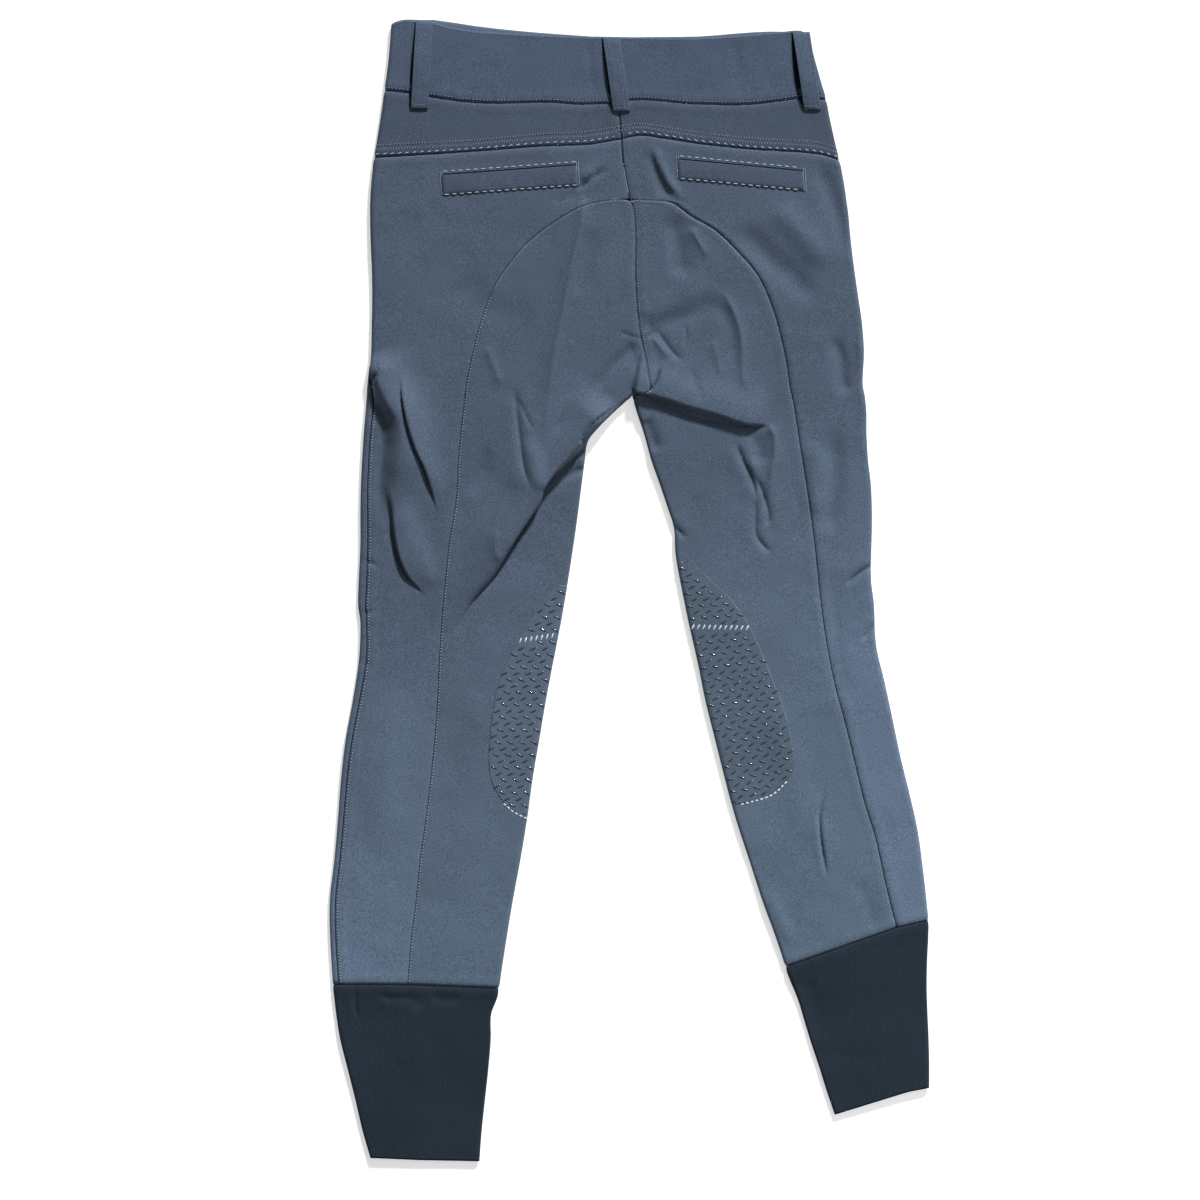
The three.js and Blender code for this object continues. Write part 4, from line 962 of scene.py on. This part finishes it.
def make_panels(name, half):
    tip = ROW_SEAT_TIP + 0.14
    seat_seam = SEAT_SEAM_LOOK[name]
    rows = rows_between(half, ROW_BAND_SEAM, ROW_YOKE_SEAM)
    add_cloth("yoke_" + name, hip_grid(half, rows, CLOTH, gap), CLOTH, twill_yoke,
              borders={"first_row": "plain", "last_row": "plain", "last_column": "plain"})
    rows = rows_between(half, ROW_YOKE_SEAM, half.last)
    add_cloth("hip_" + name, hip_grid(half, rows, CLOTH, gap), CLOTH, twill_hip,
              borders={"first_row": "plain", "last_row": "plain", "first_column": "plain",
                       "last_column": seat_seam})
    rows = rows_between(half, tip, half.last, False, True)
    add_cloth("seat_" + name, seat_grid(half, rows, CLOTH, gap), CLOTH, twill_seat,
              borders={"last_row": "plain", "first_column": seat_seam, "last_column": "plain"})
    rows = rows_between(half, ROW_BAND_SEAM, half.last, step=4.0)
    add_cloth("front_" + name, front_grid(half, rows, CLOTH, gap), CLOTH, twill_hip, lower=True)


def make_cuff(name, half):
    rows = rows_between(half, 0, half.last, True, False)
    points = np.concatenate([
        hip_grid(half, rows, KNIT, 0.0), seat_grid(half, rows, KNIT, 0.0)[:, 1:],
        front_grid(half, rows, KNIT, 0.0)[:, ::-1][:, 1:-1],
    ], axis=1)
    add_cloth("cuff_" + name, points, KNIT, cuff_knit, {"first_row": "plain"}, closed=True)


make_waistband()
for half_name, one_half in halves.items():
    make_panels(half_name, one_half)
for half_name, one_cuff in cuffs.items():
    make_cuff(half_name, one_cuff)

# Stitches and printed grips: small raised lozenges that follow the cloth
AHEAD = 0.8                      # how far to each side a row's direction is taken
STITCH_SIDES = 5
STITCH_RINGS = ((-0.72, 0.72), (0.0, 1.0), (0.72, 0.72))


def lozenge_template(sides, rings):
    turn = np.arange(sides) * 2 * math.pi / sides
    points = [(-1, 0, 0)]
    for along, radius in rings:
        points += [(along, radius * math.cos(t), radius * math.sin(t)) for t in turn]
    points.append((1, 0, 0))
    faces = []
    last = 1 + sides * (len(rings) - 1)
    for k in range(sides):
        n = (k + 1) % sides
        faces.append([0, 1 + n, 1 + k])
        faces.append([len(points) - 1, last + k, last + n])
        for ring in range(len(rings) - 1):
            a = 1 + sides * ring
            faces.append([a + k, a + n, a + sides + n, a + sides + k])
    return np.array(points, float), faces


class Marks:
    """Many small lozenges, joined in one piece."""

    def __init__(self, sides=STITCH_SIDES, rings=STITCH_RINGS):
        self.template, self.faces = lozenge_template(sides, rings)
        self.points, self.all_faces, self.count = [], [], 0

    def add(self, centres, along, normals, length, width, height, sink=0.25):
        side = unit(np.cross(normals, along))
        up = unit(np.cross(along, side))
        centres = centres + up * height * (0.5 - sink)
        for centre, a, s, u in zip(centres, unit(along), side, up):
            t = self.template
            self.points.append(centre + t[:, :1] * a * length / 2 + t[:, 1:2] * s * width / 2
                               + t[:, 2:] * u * height / 2)
            self.all_faces += [[v + self.count for v in face] for face in self.faces]
            self.count += len(t)

    def build(self, name, material, slot="thread"):
        return add_mesh(name, np.concatenate(self.points), self.all_faces, material)


def resample(points, normals, pitch, shift):
    """Places every pitch millimetres of a path, with directions and normals."""
    way = way_along(points)
    at = (np.arange(int(way[-1] / pitch)) + shift) * pitch

    def pick(values, more=0.0):
        return np.stack([np.interp(at + more, way, values[:, k]) for k in range(3)], axis=1)

    return pick(points), unit(pick(points, AHEAD) - pick(points, -AHEAD)), unit(pick(normals))


def slanted(along, normals, degrees):
    angle = math.radians(degrees)
    return along * math.cos(angle) + np.cross(normals, along) * math.sin(angle)


def lay_row(marks, path, pitch, length, width, height, shift, slant=0.0):
    places, along, normals = resample(*path, pitch, shift)
    marks.add(places, slanted(along, normals, slant), normals, length, width, height)


def path_frame(sample, wall):
    """Outer side of the cloth along a path, and its normals. sample gives the
    middle line at a sideways offset from the path."""
    middle = sample(0.0)
    normals = unit(np.cross(np.gradient(middle, axis=0), sample(0.6) - sample(-0.6)))
    normals = np.where(normals[:, 2:] < -0.15, -normals, normals)
    return middle + normals * wall / 2, normals


def cloth_points(half, row, edge, q, wall):
    return on_cloth(half, row, edge, np.asarray(q)[:, None], wall)[:, 0]


def across_path(half, centre, above, wall, q_start=0.6, trim=0.4, count=400):
    """Path along a row, a distance above it, from the side edge to the centre."""
    f = np.linspace(0, 1, count)
    here, there = centre - 0.5, centre
    outer = np.linalg.norm(half.place("outer", there) - half.place("outer", here)) * 2
    inner = np.linalg.norm(half.place("inner", there) - half.place("inner", here)) * 2
    pace = outer + (inner - outer) * f

    def sample(offset):
        row = centre - (above + offset) / pace
        row = np.clip(row, 0, half.last)
        q = q_start + (to_seam(half, row, "outer", wall) - trim - q_start) * f
        return cloth_points(half, row, "outer", q, wall)

    return path_frame(sample, wall)


def along_path(half, edge, start, end, q_of_row, wall=CLOTH, count=900):
    rows = np.linspace(start, end, count)
    return path_frame(lambda offset: cloth_points(half, rows, edge, q_of_row(rows) + offset, wall), wall)


def plan_path(points, offset=0.0, wall=CLOTH, per_step=10):
    """Path over the upper layer through points in plan, moved to its left."""
    points = np.asarray(points, float)
    at = np.linspace(0, len(points) - 1, (len(points) - 1) * per_step + 1)
    line = np.stack([spline(points[:, k], at) for k in range(2)], axis=1)
    along = unit(np.gradient(line, axis=0))
    left = np.stack([-along[:, 1], along[:, 0]], axis=1)

    def sample(more):
        x, y = (line + left * (offset + more)).T
        dx, dy = overhang(x, y)
        return np.stack([x + dx, y + dy, height_at(x, y, wall)], axis=1)

    return path_frame(sample, wall)


# dark holds the cuffs' dark thread and the painted shade in the stitch holes.
light, tone, dark = Marks(), Marks(), Marks()

# Rows of stitches, and rows of painted shade in the stitch holes between them: thread, pitch, length, width,
# height, shift in pitches
STITCHES = {
    "yoke dashes": (light, 6.3, 3.6, 0.95, 0.6, 0.5),
    "yoke holes": (dark, 2.35, 1.9, 0.75, 0.5, 0.5),
    "yoke": (tone, 2.35, 1.8, 0.7, 0.5, 1.0),
    "band": (tone, 3.0, 1.7, 0.6, 0.4, 0.5),
    "band hole shade": (dark, 3.0, 1.3, 0.6, 0.4, 2.0),
    "waist edge": (tone, 2.5, 1.6, 0.55, 0.4, 0.5),
    "centre": (tone, 2.4, 1.6, 0.5, 0.5, 0.5),
    "centre bar": (light, 1.5, 1.5, 0.45, 0.4, 0.5),
    "seat top": (light, 2.1, 1.2, 0.5, 0.4, 0.5),
    "right seat": (tone, 2.3, 1.3, 0.5, 0.4, 0.5),
    "left seat": (light, 2.6, 1.2, 0.75, 0.4, 0.5),
    "left side": (light, 2.6, 1.3, 0.8, 0.4, 0.5),
    "left hole shade": (dark, 2.6, 1.0, 0.7, 0.4, 1.8),
    "cuff": (dark, 2.6, 1.7, 0.5, 0.4, 0.5),
    "welt dashes": (light, 6.4, 4.3, 0.95, 0.6, 0.6),
    "welt bar": (light, 1.5, 1.5, 0.5, 0.4, 0.5),
    "loop hole shade": (dark, 2.6, 1.5, 0.55, 0.4, 0.5),
    "loop": (tone, 2.6, 1.2, 0.55, 0.4, 1.8),
    "loop end": (tone, 1.0, 1.0, 0.5, 0.4, 0.5),
}
YOKE_DASHES_ABOVE, YOKE_DASHES_TURN = 2.8, 14
YOKE_ROWS_ABOVE, YOKE_ROWS_TURN = (6.8, 10.6), 55
BAND_ROW_ABOVE = 2.2
CENTRE_ROW, CENTRE_BARS = 2.0, (3.2, 5.6)      # to the right of the seam
SEAT_ROW = {"left": 1.3, "right": -2.0}        # sideways from the seam
SEAT_TOP = 0.22                                # share of the seam stitched more finely
SIDE_ROW = 2.0
CUFF_ROW = 2.0
CUFF_BEND = 0.4                                # share of the cuff seam on the hip panel

# Painted shade: dark tubes at the bottom of the deeper seams, where their grooves lie in shade: radius,
# depth under the cloth
LINES = {"plain": (0.33, 0.55), "centre": (0.6, 0.45), "side": (0.55, 0.4), "seat": (0.36, 0.5)}
LINE_SIDES = 6
seam_shade_tubes = []


def sew_row(kind, path, slant=0.0):
    lay_row(*STITCHES[kind][:1], path, *STITCHES[kind][1:], slant)


# Lays a tube of painted shade along the groove of a seam.
def painted_seam_shade(path, look="plain"):
    points, normals = path
    radius, sunk = LINES[look]
    points = points - normals * sunk
    along = unit(np.gradient(points, axis=0))
    side = unit(np.cross(normals, along))
    up = np.cross(along, side)
    turn = np.arange(LINE_SIDES) * 2 * math.pi / LINE_SIDES
    ring = (side[:, None] * np.cos(turn)[None, :, None] + up[:, None] * np.sin(turn)[None, :, None])
    seam_shade_tubes.append(points[:, None] + ring * radius)


def build_seam_shades():
    vertices, faces, count = [], [], 0
    for tube in seam_shade_tubes:
        rows, sides = tube.shape[:2]
        faces += (grid_faces(rows, sides, sides) + count).tolist()
        faces.append([count + k for k in range(sides)])
        faces.append([count + (rows - 1) * sides + k for k in reversed(range(sides))])
        vertices.append(tube.reshape(-1, 3))
        count += rows * sides
    add_mesh("painted_seam_shades", np.concatenate(vertices), faces, painted_shade)


# Yoke and waistband
for half in halves.values():
    dashes = across_path(half, ROW_YOKE_SEAM, YOKE_DASHES_ABOVE, CLOTH)
    sew_row("yoke dashes", dashes, -YOKE_DASHES_TURN * half.side)
    for above in YOKE_ROWS_ABOVE:
        path = across_path(half, ROW_YOKE_SEAM, above, CLOTH)
        sew_row("yoke holes", path, YOKE_ROWS_TURN * half.side)
        sew_row("yoke", path, YOKE_ROWS_TURN * half.side)
    band_foot = across_path(half, ROW_BAND_SEAM, BAND_ROW_ABOVE, BAND)
    sew_row("band", band_foot)
    sew_row("band hole shade", band_foot)
    sew_row("waist edge", across_path(half, ROW_WAIST + 0.06, 0.0, BAND))
    for row in (ROW_YOKE_SEAM, ROW_BAND_SEAM):
        painted_seam_shade(across_path(half, row, 0.0, CLOTH, trim=0.0))

# Centre back: a row beside the seam on the right, and a short bar at its foot
centre_rows = (ROW_BAND_SEAM + 0.1, ROW_BACK_SEAM_END + 0.4)
sew_row("centre", along_path(right, "inner", *centre_rows, lambda row: 0 * row + CENTRE_ROW))
for way in CENTRE_BARS:
    bar_rows = (ROW_YOKE_SEAM + 1.25, ROW_SEAT_TIP - 0.05)
    sew_row("centre bar", along_path(right, "inner", *bar_rows, lambda row: 0 * row + way))
painted_seam_shade(along_path(right, "inner", *centre_rows, lambda row: 0 * row), "centre")

# Curved seams: fine dots beside them
for name, half in halves.items():
    seam = half.place("seam", np.linspace(ROW_SEAT_TIP + 0.02, half.last, 140))
    if name == "right":
        painted_seam_shade(plan_path(seam), "seat")
    first = int(SEAT_TOP * len(seam))
    sew_row("seat top", plan_path(seam[:first], SEAT_ROW[name]))
    leg = plan_path(seam[first:], SEAT_ROW[name])
    sew_row(name + " seat", leg)
    if name == "left":
        sew_row("left hole shade", leg)

# Side seam on top of the left leg
side_seam = along_path(left, "outer", ROW_BACK_SEAM_END - 0.6, left.last, lambda row: left.value("out", row))
painted_seam_shade(side_seam, "side")
side_row = along_path(left, "outer", ROW_BACK_SEAM_END + 0.2, left.last,
                      lambda row: left.value("out", row) + SIDE_ROW)
sew_row("left side", side_row)
sew_row("left hole shade", side_row)

# Cuff seams: a fine row above each
for half in halves.values():
    f = np.linspace(0.02, 0.98, 60)[:, None]
    a, b, c = (half.place(which, float(half.last)) for which in ("outer", "seam", "inner"))
    seam = np.where(f < CUFF_BEND, a + (b - a) * f / CUFF_BEND,
                    b + (c - b) * (f - CUFF_BEND) / (1 - CUFF_BEND))
    sew_row("cuff", plan_path(seam, CUFF_ROW, per_step=4))
    painted_seam_shade(plan_path(seam, per_step=4))

# Pocket welts: corners of the strip as X and down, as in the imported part
WELT_WALL = 1.0
WELT_LEAN = 1.0
WELTS = (
    ("welt_left", -160, 132.5, -44.5, 124, 17),
    ("welt_right", 40.5, 119, 148, 129.2, 16.5),
)
WELT_RISE = 0.25                 # of its middle line over the panel's outer side
WELT_EDGE = 0.9                  # how deep its border is sewn down
WELT_ROW_ABOVE, WELT_ROW_IN = 3.2, 0.6         # dashes over the welt and inside its foot
WELT_LIFT = 1.3
WELT_BARS = (-0.7, 0.9)                        # tacks at the ends of the welt
WELT_BAR_ABOVE, WELT_BAR_LIFT = 3.0, 0.9
WELT_BORDER, WELT_SWELL, WELT_RIPPLE = 1.4, 0.35, 0.12
SLIT_WIDTH, SLIT_UNDER, SLIT_RISE = 1.5, 0.4, 0.06
THIN_WALL = 0.1
LAY_GAP = 0.5


def lattice(corners, rows, columns):
    """Points of a four-cornered strip in plan, and their parts of its sides."""
    f = np.linspace(0, 1, rows)[:, None, None]
    g = np.linspace(0, 1, columns)[None, :, None]
    a, b, c, d = (np.array((x, to_y(down)), float) for x, down in corners)
    return (a + (b - a) * g) * (1 - f) + (c + (d - c) * g) * f, f[..., 0], g[..., 0]


def make_welt(name, left_x, left_down, right_x, right_down, depth):
    corners = ((left_x, left_down), (right_x, right_down),
               (left_x + WELT_LEAN, left_down + depth), (right_x + WELT_LEAN, right_down + depth))
    plan, f, g = lattice(corners, 26, 130)
    x, y = plan[..., 0], plan[..., 1]
    length = math.hypot(right_x - left_x, right_down - left_down)
    in_from_side = np.minimum(g, 1 - g) * length
    in_from_foot = (1 - f) * depth
    sunk = np.maximum(np.exp(-((in_from_side / WELT_BORDER) ** 2)),
                      np.exp(-((in_from_foot / WELT_BORDER) ** 2)))
    swell = WELT_SWELL * np.sin(math.pi * np.clip(f, 0, 1)) * (1 - sunk)
    ripple = WELT_RIPPLE * drift(x, y, 9, 41)
    z = height_at(x, y) + CLOTH / 2 + WELT_WALL / 2 + WELT_RISE - WELT_EDGE * sunk + swell + ripple
    points = np.stack([x, y, z], axis=-1)
    vertices, faces = wall_arrays(points, WELT_WALL)
    piece = add_mesh("cloth_" + name, vertices, faces, twill_yoke)
    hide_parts(name)

    def line(below, more):
        ends = ((left_x + below * WELT_LEAN / depth, left_down + below),
                (right_x + below * WELT_LEAN / depth, right_down + below))
        return plan_path([(px, to_y(pd)) for px, pd in ends], 0.0, CLOTH + more, 40)

    sew_row("welt dashes", line(-WELT_ROW_ABOVE, 0))
    sew_row("welt dashes", line(depth - WELT_ROW_IN, WELT_LIFT))
    # The pocket's slit: a thin dark sheet of painted shade on the panel along the welt's top edge.
    slit, _, _ = lattice((
        (left_x, left_down - SLIT_WIDTH), (right_x, right_down - SLIT_WIDTH),
        (left_x, left_down + SLIT_UNDER), (right_x, right_down + SLIT_UNDER)), 5, 90)
    z = height_at(slit[..., 0], slit[..., 1]) + CLOTH / 2 + SLIT_RISE
    vertices, faces = wall_arrays(np.concatenate([slit, z[..., None]], axis=-1), THIN_WALL)
    add_mesh("slit_" + name, vertices, faces, painted_shade)
    for end_x, end_down in ((left_x, left_down), (right_x, right_down)):
        for shift in WELT_BARS:
            ends = [(end_x + shift, to_y(end_down - WELT_BAR_ABOVE)),
                    (end_x + shift + WELT_LEAN, to_y(end_down + depth))]
            sew_row("welt bar", plan_path(ends, 0.0, CLOTH + WELT_BAR_LIFT, 30))


for row in WELTS:
    make_welt(*row)

# Belt loops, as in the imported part
LOOP_WALL = 1.5
LOOP_WIDTH = 14.5
# The last value is how far the painted shade on the left of each loop bulges out.
LOOPS = (
    ("belt_loop_left", -174, 2.6, -178.4, 75.5, 2.6, 1.4, 0.9),
    ("belt_loop_centre", -15.5, 15.6, -6.8, 77.6, 2.2, 1.8, 0.8),
    ("belt_loop_right", 145.5, 10.8, 155.2, 76, 3.2, 1.6, 3.2),
)
LOOP_SHADE_RISE = 0.12
LOOP_STITCH = 2.4                # stitch rows from the loop's sides
LOOP_COLUMNS = 22
LOOP_END_LINES = (2, -4)         # lines of the loop's grid that are tacked down


def make_loop_shade(name, corners, widest):
    """Dark sheet of painted shade on the band on the left of a loop, where it stands off."""
    (top_x, top_down), _, (foot_x, foot_down), _ = corners
    plan, f, _ = lattice(((top_x - 1, top_down), (top_x + 2, top_down),
                          (foot_x - 1, foot_down - 2), (foot_x + 2, foot_down - 2)), 60, 5)
    x, y = plan[..., 0].copy(), plan[..., 1]
    left_side = x[:, -1] - 3
    bulge = widest * np.sin(math.pi * f[:, 0] ** 1.5) ** 0.8
    for k in range(5):
        x[:, k] = left_side - bulge + (3 + bulge) * k / 4
    z = height_at(x, y, BAND) + BAND / 2 + LOOP_SHADE_RISE
    vertices, faces = wall_arrays(np.stack([x, y, z], axis=-1), THIN_WALL)
    add_mesh("loop_shade_" + name, vertices, faces, painted_shade)


def make_loop(name, top_x, top_down, foot_x, foot_down, left_bow, right_bow, opening):
    w = LOOP_WIDTH / 2
    corners = ((top_x - w, top_down), (top_x + w, top_down),
               (foot_x - w, foot_down), (foot_x + w, foot_down))
    plan, f, g = lattice(corners, 80, LOOP_COLUMNS)
    x, y = plan[..., 0], plan[..., 1]
    bow = (left_bow + (right_bow - left_bow) * g) * np.sin(math.pi * f)
    side = np.minimum(g, 1 - g) * LOOP_WIDTH
    rounded = 0.45 * np.exp(-((side / 1.2) ** 2))
    sewn = 0.3 * np.exp(-(((side - LOOP_STITCH) / 0.7) ** 2))
    end = np.minimum(f, 1 - f) * (foot_down - top_down)
    tacked = 0.5 * np.exp(-((end / 3.0) ** 2))
    rise = BAND / 2 + LAY_GAP + LOOP_WALL / 2
    z = height_at(x, y, BAND) + rise + bow - rounded - sewn - tacked + 0.1 * drift(x, y, 6, 43)
    points = np.stack([x, y, z], axis=-1)
    vertices, faces = wall_arrays(points, LOOP_WALL)
    piece = add_mesh("cloth_" + name, vertices, faces, twill_band)
    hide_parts(name)
    make_loop_shade(name, corners, opening)
    normals, _ = grid_normals(points, False)
    outer = points + normals * LOOP_WALL / 2
    column = round(LOOP_STITCH / LOOP_WIDTH * (LOOP_COLUMNS - 1))
    for at in (column, LOOP_COLUMNS - 1 - column):
        row = outer[:, at], normals[:, at]
        sew_row("loop hole shade", row)
        sew_row("loop", row)
    for line in LOOP_END_LINES:
        sew_row("loop end", (outer[line, 2:-2], normals[line, 2:-2]))


for row in LOOPS:
    make_loop(*row)

# Knee grips: glossy bars in herringbone rows, printed on the seat panels out
# to a curved border, with plain silver dashes across and along the border
# Each patch: its border, the line across it and the arc at its foot, as X and down
LEFT_PATCH = (
    ((-59, 480), (-72, 491), (-85, 510), (-97, 531), (-108, 554), (-115, 578), (-119, 612),
     (-119, 641), (-110, 661), (-96, 673), (-84, 678)),
    ((-95, 527.5), (-62, 522.5)),
    ((-107.5, 665), (-98, 673), (-86, 679)),
)
RIGHT_PATCH = (
    ((36, 458), (54, 463), (70, 477), (87, 493), (102, 514), (113.5, 539), (124, 565), (133, 590),
     (139, 616), (140.5, 630), (135, 644), (119, 658), (108, 663), (88, 667)),
    ((51.5, 515.5), (102.5, 516.5)),
    ((134, 646.5), (119.5, 659), (92, 667)),
)
PATCH_ROWS = (22, 32)
GRIP_START = (4.2, 2.0)          # from the inner edge, and from the patch's top
GRIP_PITCH = (10.2, 5.4)         # across, down
GRIP_COUNT = 18                  # tried in a row, of which those on the patch are kept
GRIP_SIZE = (7.0, 1.6, 0.6)      # length, width, height
# Silver dashes: pitch, length, width, height, shift in pitches, slant
LINE_DASHES = (4.6, 4.8, 1.5, 0.35, 0.5, 62)
ARC_DASHES = (4.2, 2.9, 1.5, 0.35, 0.5, 0)
GRIP_SLANT = 24
GRIP_MARGIN = 2.0
DASH_CLEAR = 4.2                 # kept free of bars beside a silver line


FILM_COLUMNS = 40
FILM_RISE = 0.07
FILM_WALL = 0.1
FILM_WRAP = -4.0                 # how far it runs round the inner edge


def make_film(name, half, border):
    """Thin print under the bars, from round the inner edge to the border."""
    rows = np.linspace(*PATCH_ROWS, 220)
    reach = np.linspace(FILM_WRAP, 110, 300)
    probe = on_cloth(half, rows, "inner", np.repeat(reach[None, :], len(rows), axis=0), CLOTH)
    _, signed, _ = nearest(sample_path(border), probe[..., 0], probe[..., 1])
    ends = sample_path(border)[[0, -1], 1]
    covered = (signed * half.side > 0) & (probe[..., 1] < ends[0]) & (probe[..., 1] > ends[1])
    furthest = np.where(covered, reach[None, :], FILM_WRAP).max(axis=1)
    used = furthest > FILM_WRAP + 3
    rows, furthest = rows[used], furthest[used]
    q = FILM_WRAP + (furthest[:, None] - FILM_WRAP) * np.linspace(0, 1, FILM_COLUMNS)[None, :]
    middle = on_cloth(half, rows, "inner", q, CLOTH)
    normals, _ = grid_normals(middle, False)
    points = middle + normals * (CLOTH / 2 + FILM_RISE)
    vertices, faces = wall_arrays(points, FILM_WALL)
    add_mesh("film_" + name, vertices, faces, films[name])


def make_grip(name, half, border, line, arc):
    grips = Marks(8, ((-0.8, 0.6), (-0.4, 0.95), (0.4, 0.95), (0.8, 0.6)))
    silver = Marks(6, ((-0.85, 0.8), (0.0, 1.0), (0.85, 0.8)))
    rows = np.linspace(*PATCH_ROWS, 1200)
    edge = half.place("inner", rows)
    way = way_along(edge)
    edge_path, dash_path = sample_path(border), sample_path(line)
    for number, down in enumerate(np.arange(GRIP_START[1], way[-1], GRIP_PITCH[1])):
        row = np.interp(down, way, rows)
        q = GRIP_START[0] + GRIP_PITCH[0] * (np.arange(GRIP_COUNT) + 0.5 * (number % 2))
        at = np.full(q.shape, row)
        middle = cloth_points(half, at, "inner", q, CLOTH)
        ahead = cloth_points(half, at, "inner", q + 0.6, CLOTH) - middle
        below = cloth_points(half, at + 0.03, "inner", q, CLOTH) - middle
        normals = unit(np.cross(ahead, below))
        normals = np.where(normals[:, 2:] < -0.1, -normals, normals)
        _, signed, part = nearest(edge_path, middle[:, 0], middle[:, 1])
        clear, _, _ = nearest(dash_path, middle[:, 0], middle[:, 1])
        within = (part > 0.001) & (part < 0.999)
        keep = within & (signed * half.side > GRIP_MARGIN) & (clear > DASH_CLEAR)
        tilt = GRIP_SLANT if number % 2 else -GRIP_SLANT
        along = slanted(unit(ahead), normals, tilt)
        outer = middle + normals * CLOTH / 2
        if keep.any():
            grips.add(outer[keep], along[keep], normals[keep], *GRIP_SIZE, sink=0.3)
    grips.build("grip_" + name, silicone, "grip_print")
    make_film(name, half, border)
    for path, dashes in ((line, LINE_DASHES), (arc, ARC_DASHES)):
        lay_row(silver, plan_path([(x, to_y(down)) for x, down in path], 0.0), *dashes)
    silver.build("silver_" + name, silver_print, "grip_print")


make_grip("left", left, *LEFT_PATCH)
make_grip("right", right, *RIGHT_PATCH)

light.build("stitches_light", thread_light)
tone.build("stitches_tone", thread_tone)
dark.build("stitches_dark_and_hole_shade", dark_thread_and_hole_shade)
build_seam_shades()

# Floor, light and camera
FLOOR_SIZE = 6.0
FLOOR_LOOK = {"Base Color": (0.6, 0.6, 0.6, 1), "Emission Color": (1, 1, 1, 1),
              "Emission Strength": 0.55, "Roughness": 0.9, "Specular IOR Level": 0.0}
DAYLIGHT = 0.16
floor_mesh = bpy.data.meshes.new("floor")
floor_mesh.from_pydata([(-FLOOR_SIZE, -FLOOR_SIZE, 0), (FLOOR_SIZE, -FLOOR_SIZE, 0),
                        (FLOOR_SIZE, FLOOR_SIZE, 0), (-FLOOR_SIZE, FLOOR_SIZE, 0)], [], [(0, 1, 2, 3)])
floor = bpy.data.objects.new("floor", floor_mesh)
bpy.context.collection.objects.link(floor)
floor.location.z = -0.0004
floor_mesh.materials.append(Surface("floor", FLOOR_LOOK).material)

world = bpy.data.worlds.new("studio")
bpy.context.scene.world = world
world.use_nodes = True
background = world.node_tree.nodes["Background"]
background.inputs["Color"].default_value = (1, 1, 1, 1)
background.inputs["Strength"].default_value = DAYLIGHT


def sun_light(name, azimuth, elevation, strength, softness):
    """Even light from a direction in degrees, from +X towards +Y and upwards."""
    data = bpy.data.lights.new(name, "SUN")
    data.energy, data.angle = strength, math.radians(softness)
    light = bpy.data.objects.new(name, data)
    turn, lift = math.radians(azimuth), math.radians(elevation)
    towards = Vector((math.cos(turn) * math.cos(lift), math.sin(turn) * math.cos(lift), math.sin(lift)))
    light.rotation_euler = towards.to_track_quat("Z", "Y").to_euler()
    bpy.context.collection.objects.link(light)


def area_light(name, place, target, size, power):
    data = bpy.data.lights.new(name, "AREA")
    data.size, data.energy = size, power
    light = bpy.data.objects.new(name, data)
    light.location = place
    light.rotation_euler = (Vector(target) - Vector(place)).to_track_quat("-Z", "Y").to_euler()
    bpy.context.collection.objects.link(light)


sun_light("key", 69, 26, 6.3, 7)
area_light("fill", (0.72, -0.2, 0.72), (0.0, -0.12, 0), 0.85, 3.4)

SCALE = 0.85                     # millimetres to a pixel of the 1200 pixel frame
FRAME_PIXELS = 1200
VIEW_X, VIEW_Y = -25.1, -7.7     # middle of the frame
CAMERA_HEIGHT = 4.0
camera_data = bpy.data.cameras.new("camera")
camera_data.sensor_width = 36
camera_data.lens = 36 * CAMERA_HEIGHT / (SCALE * FRAME_PIXELS * MM)
camera = bpy.data.objects.new("camera", camera_data)
camera.location = (VIEW_X * MM, VIEW_Y * MM, CAMERA_HEIGHT)
bpy.context.collection.objects.link(camera)
bpy.context.scene.camera = camera
bpy.context.scene.view_settings.view_transform = "Standard"
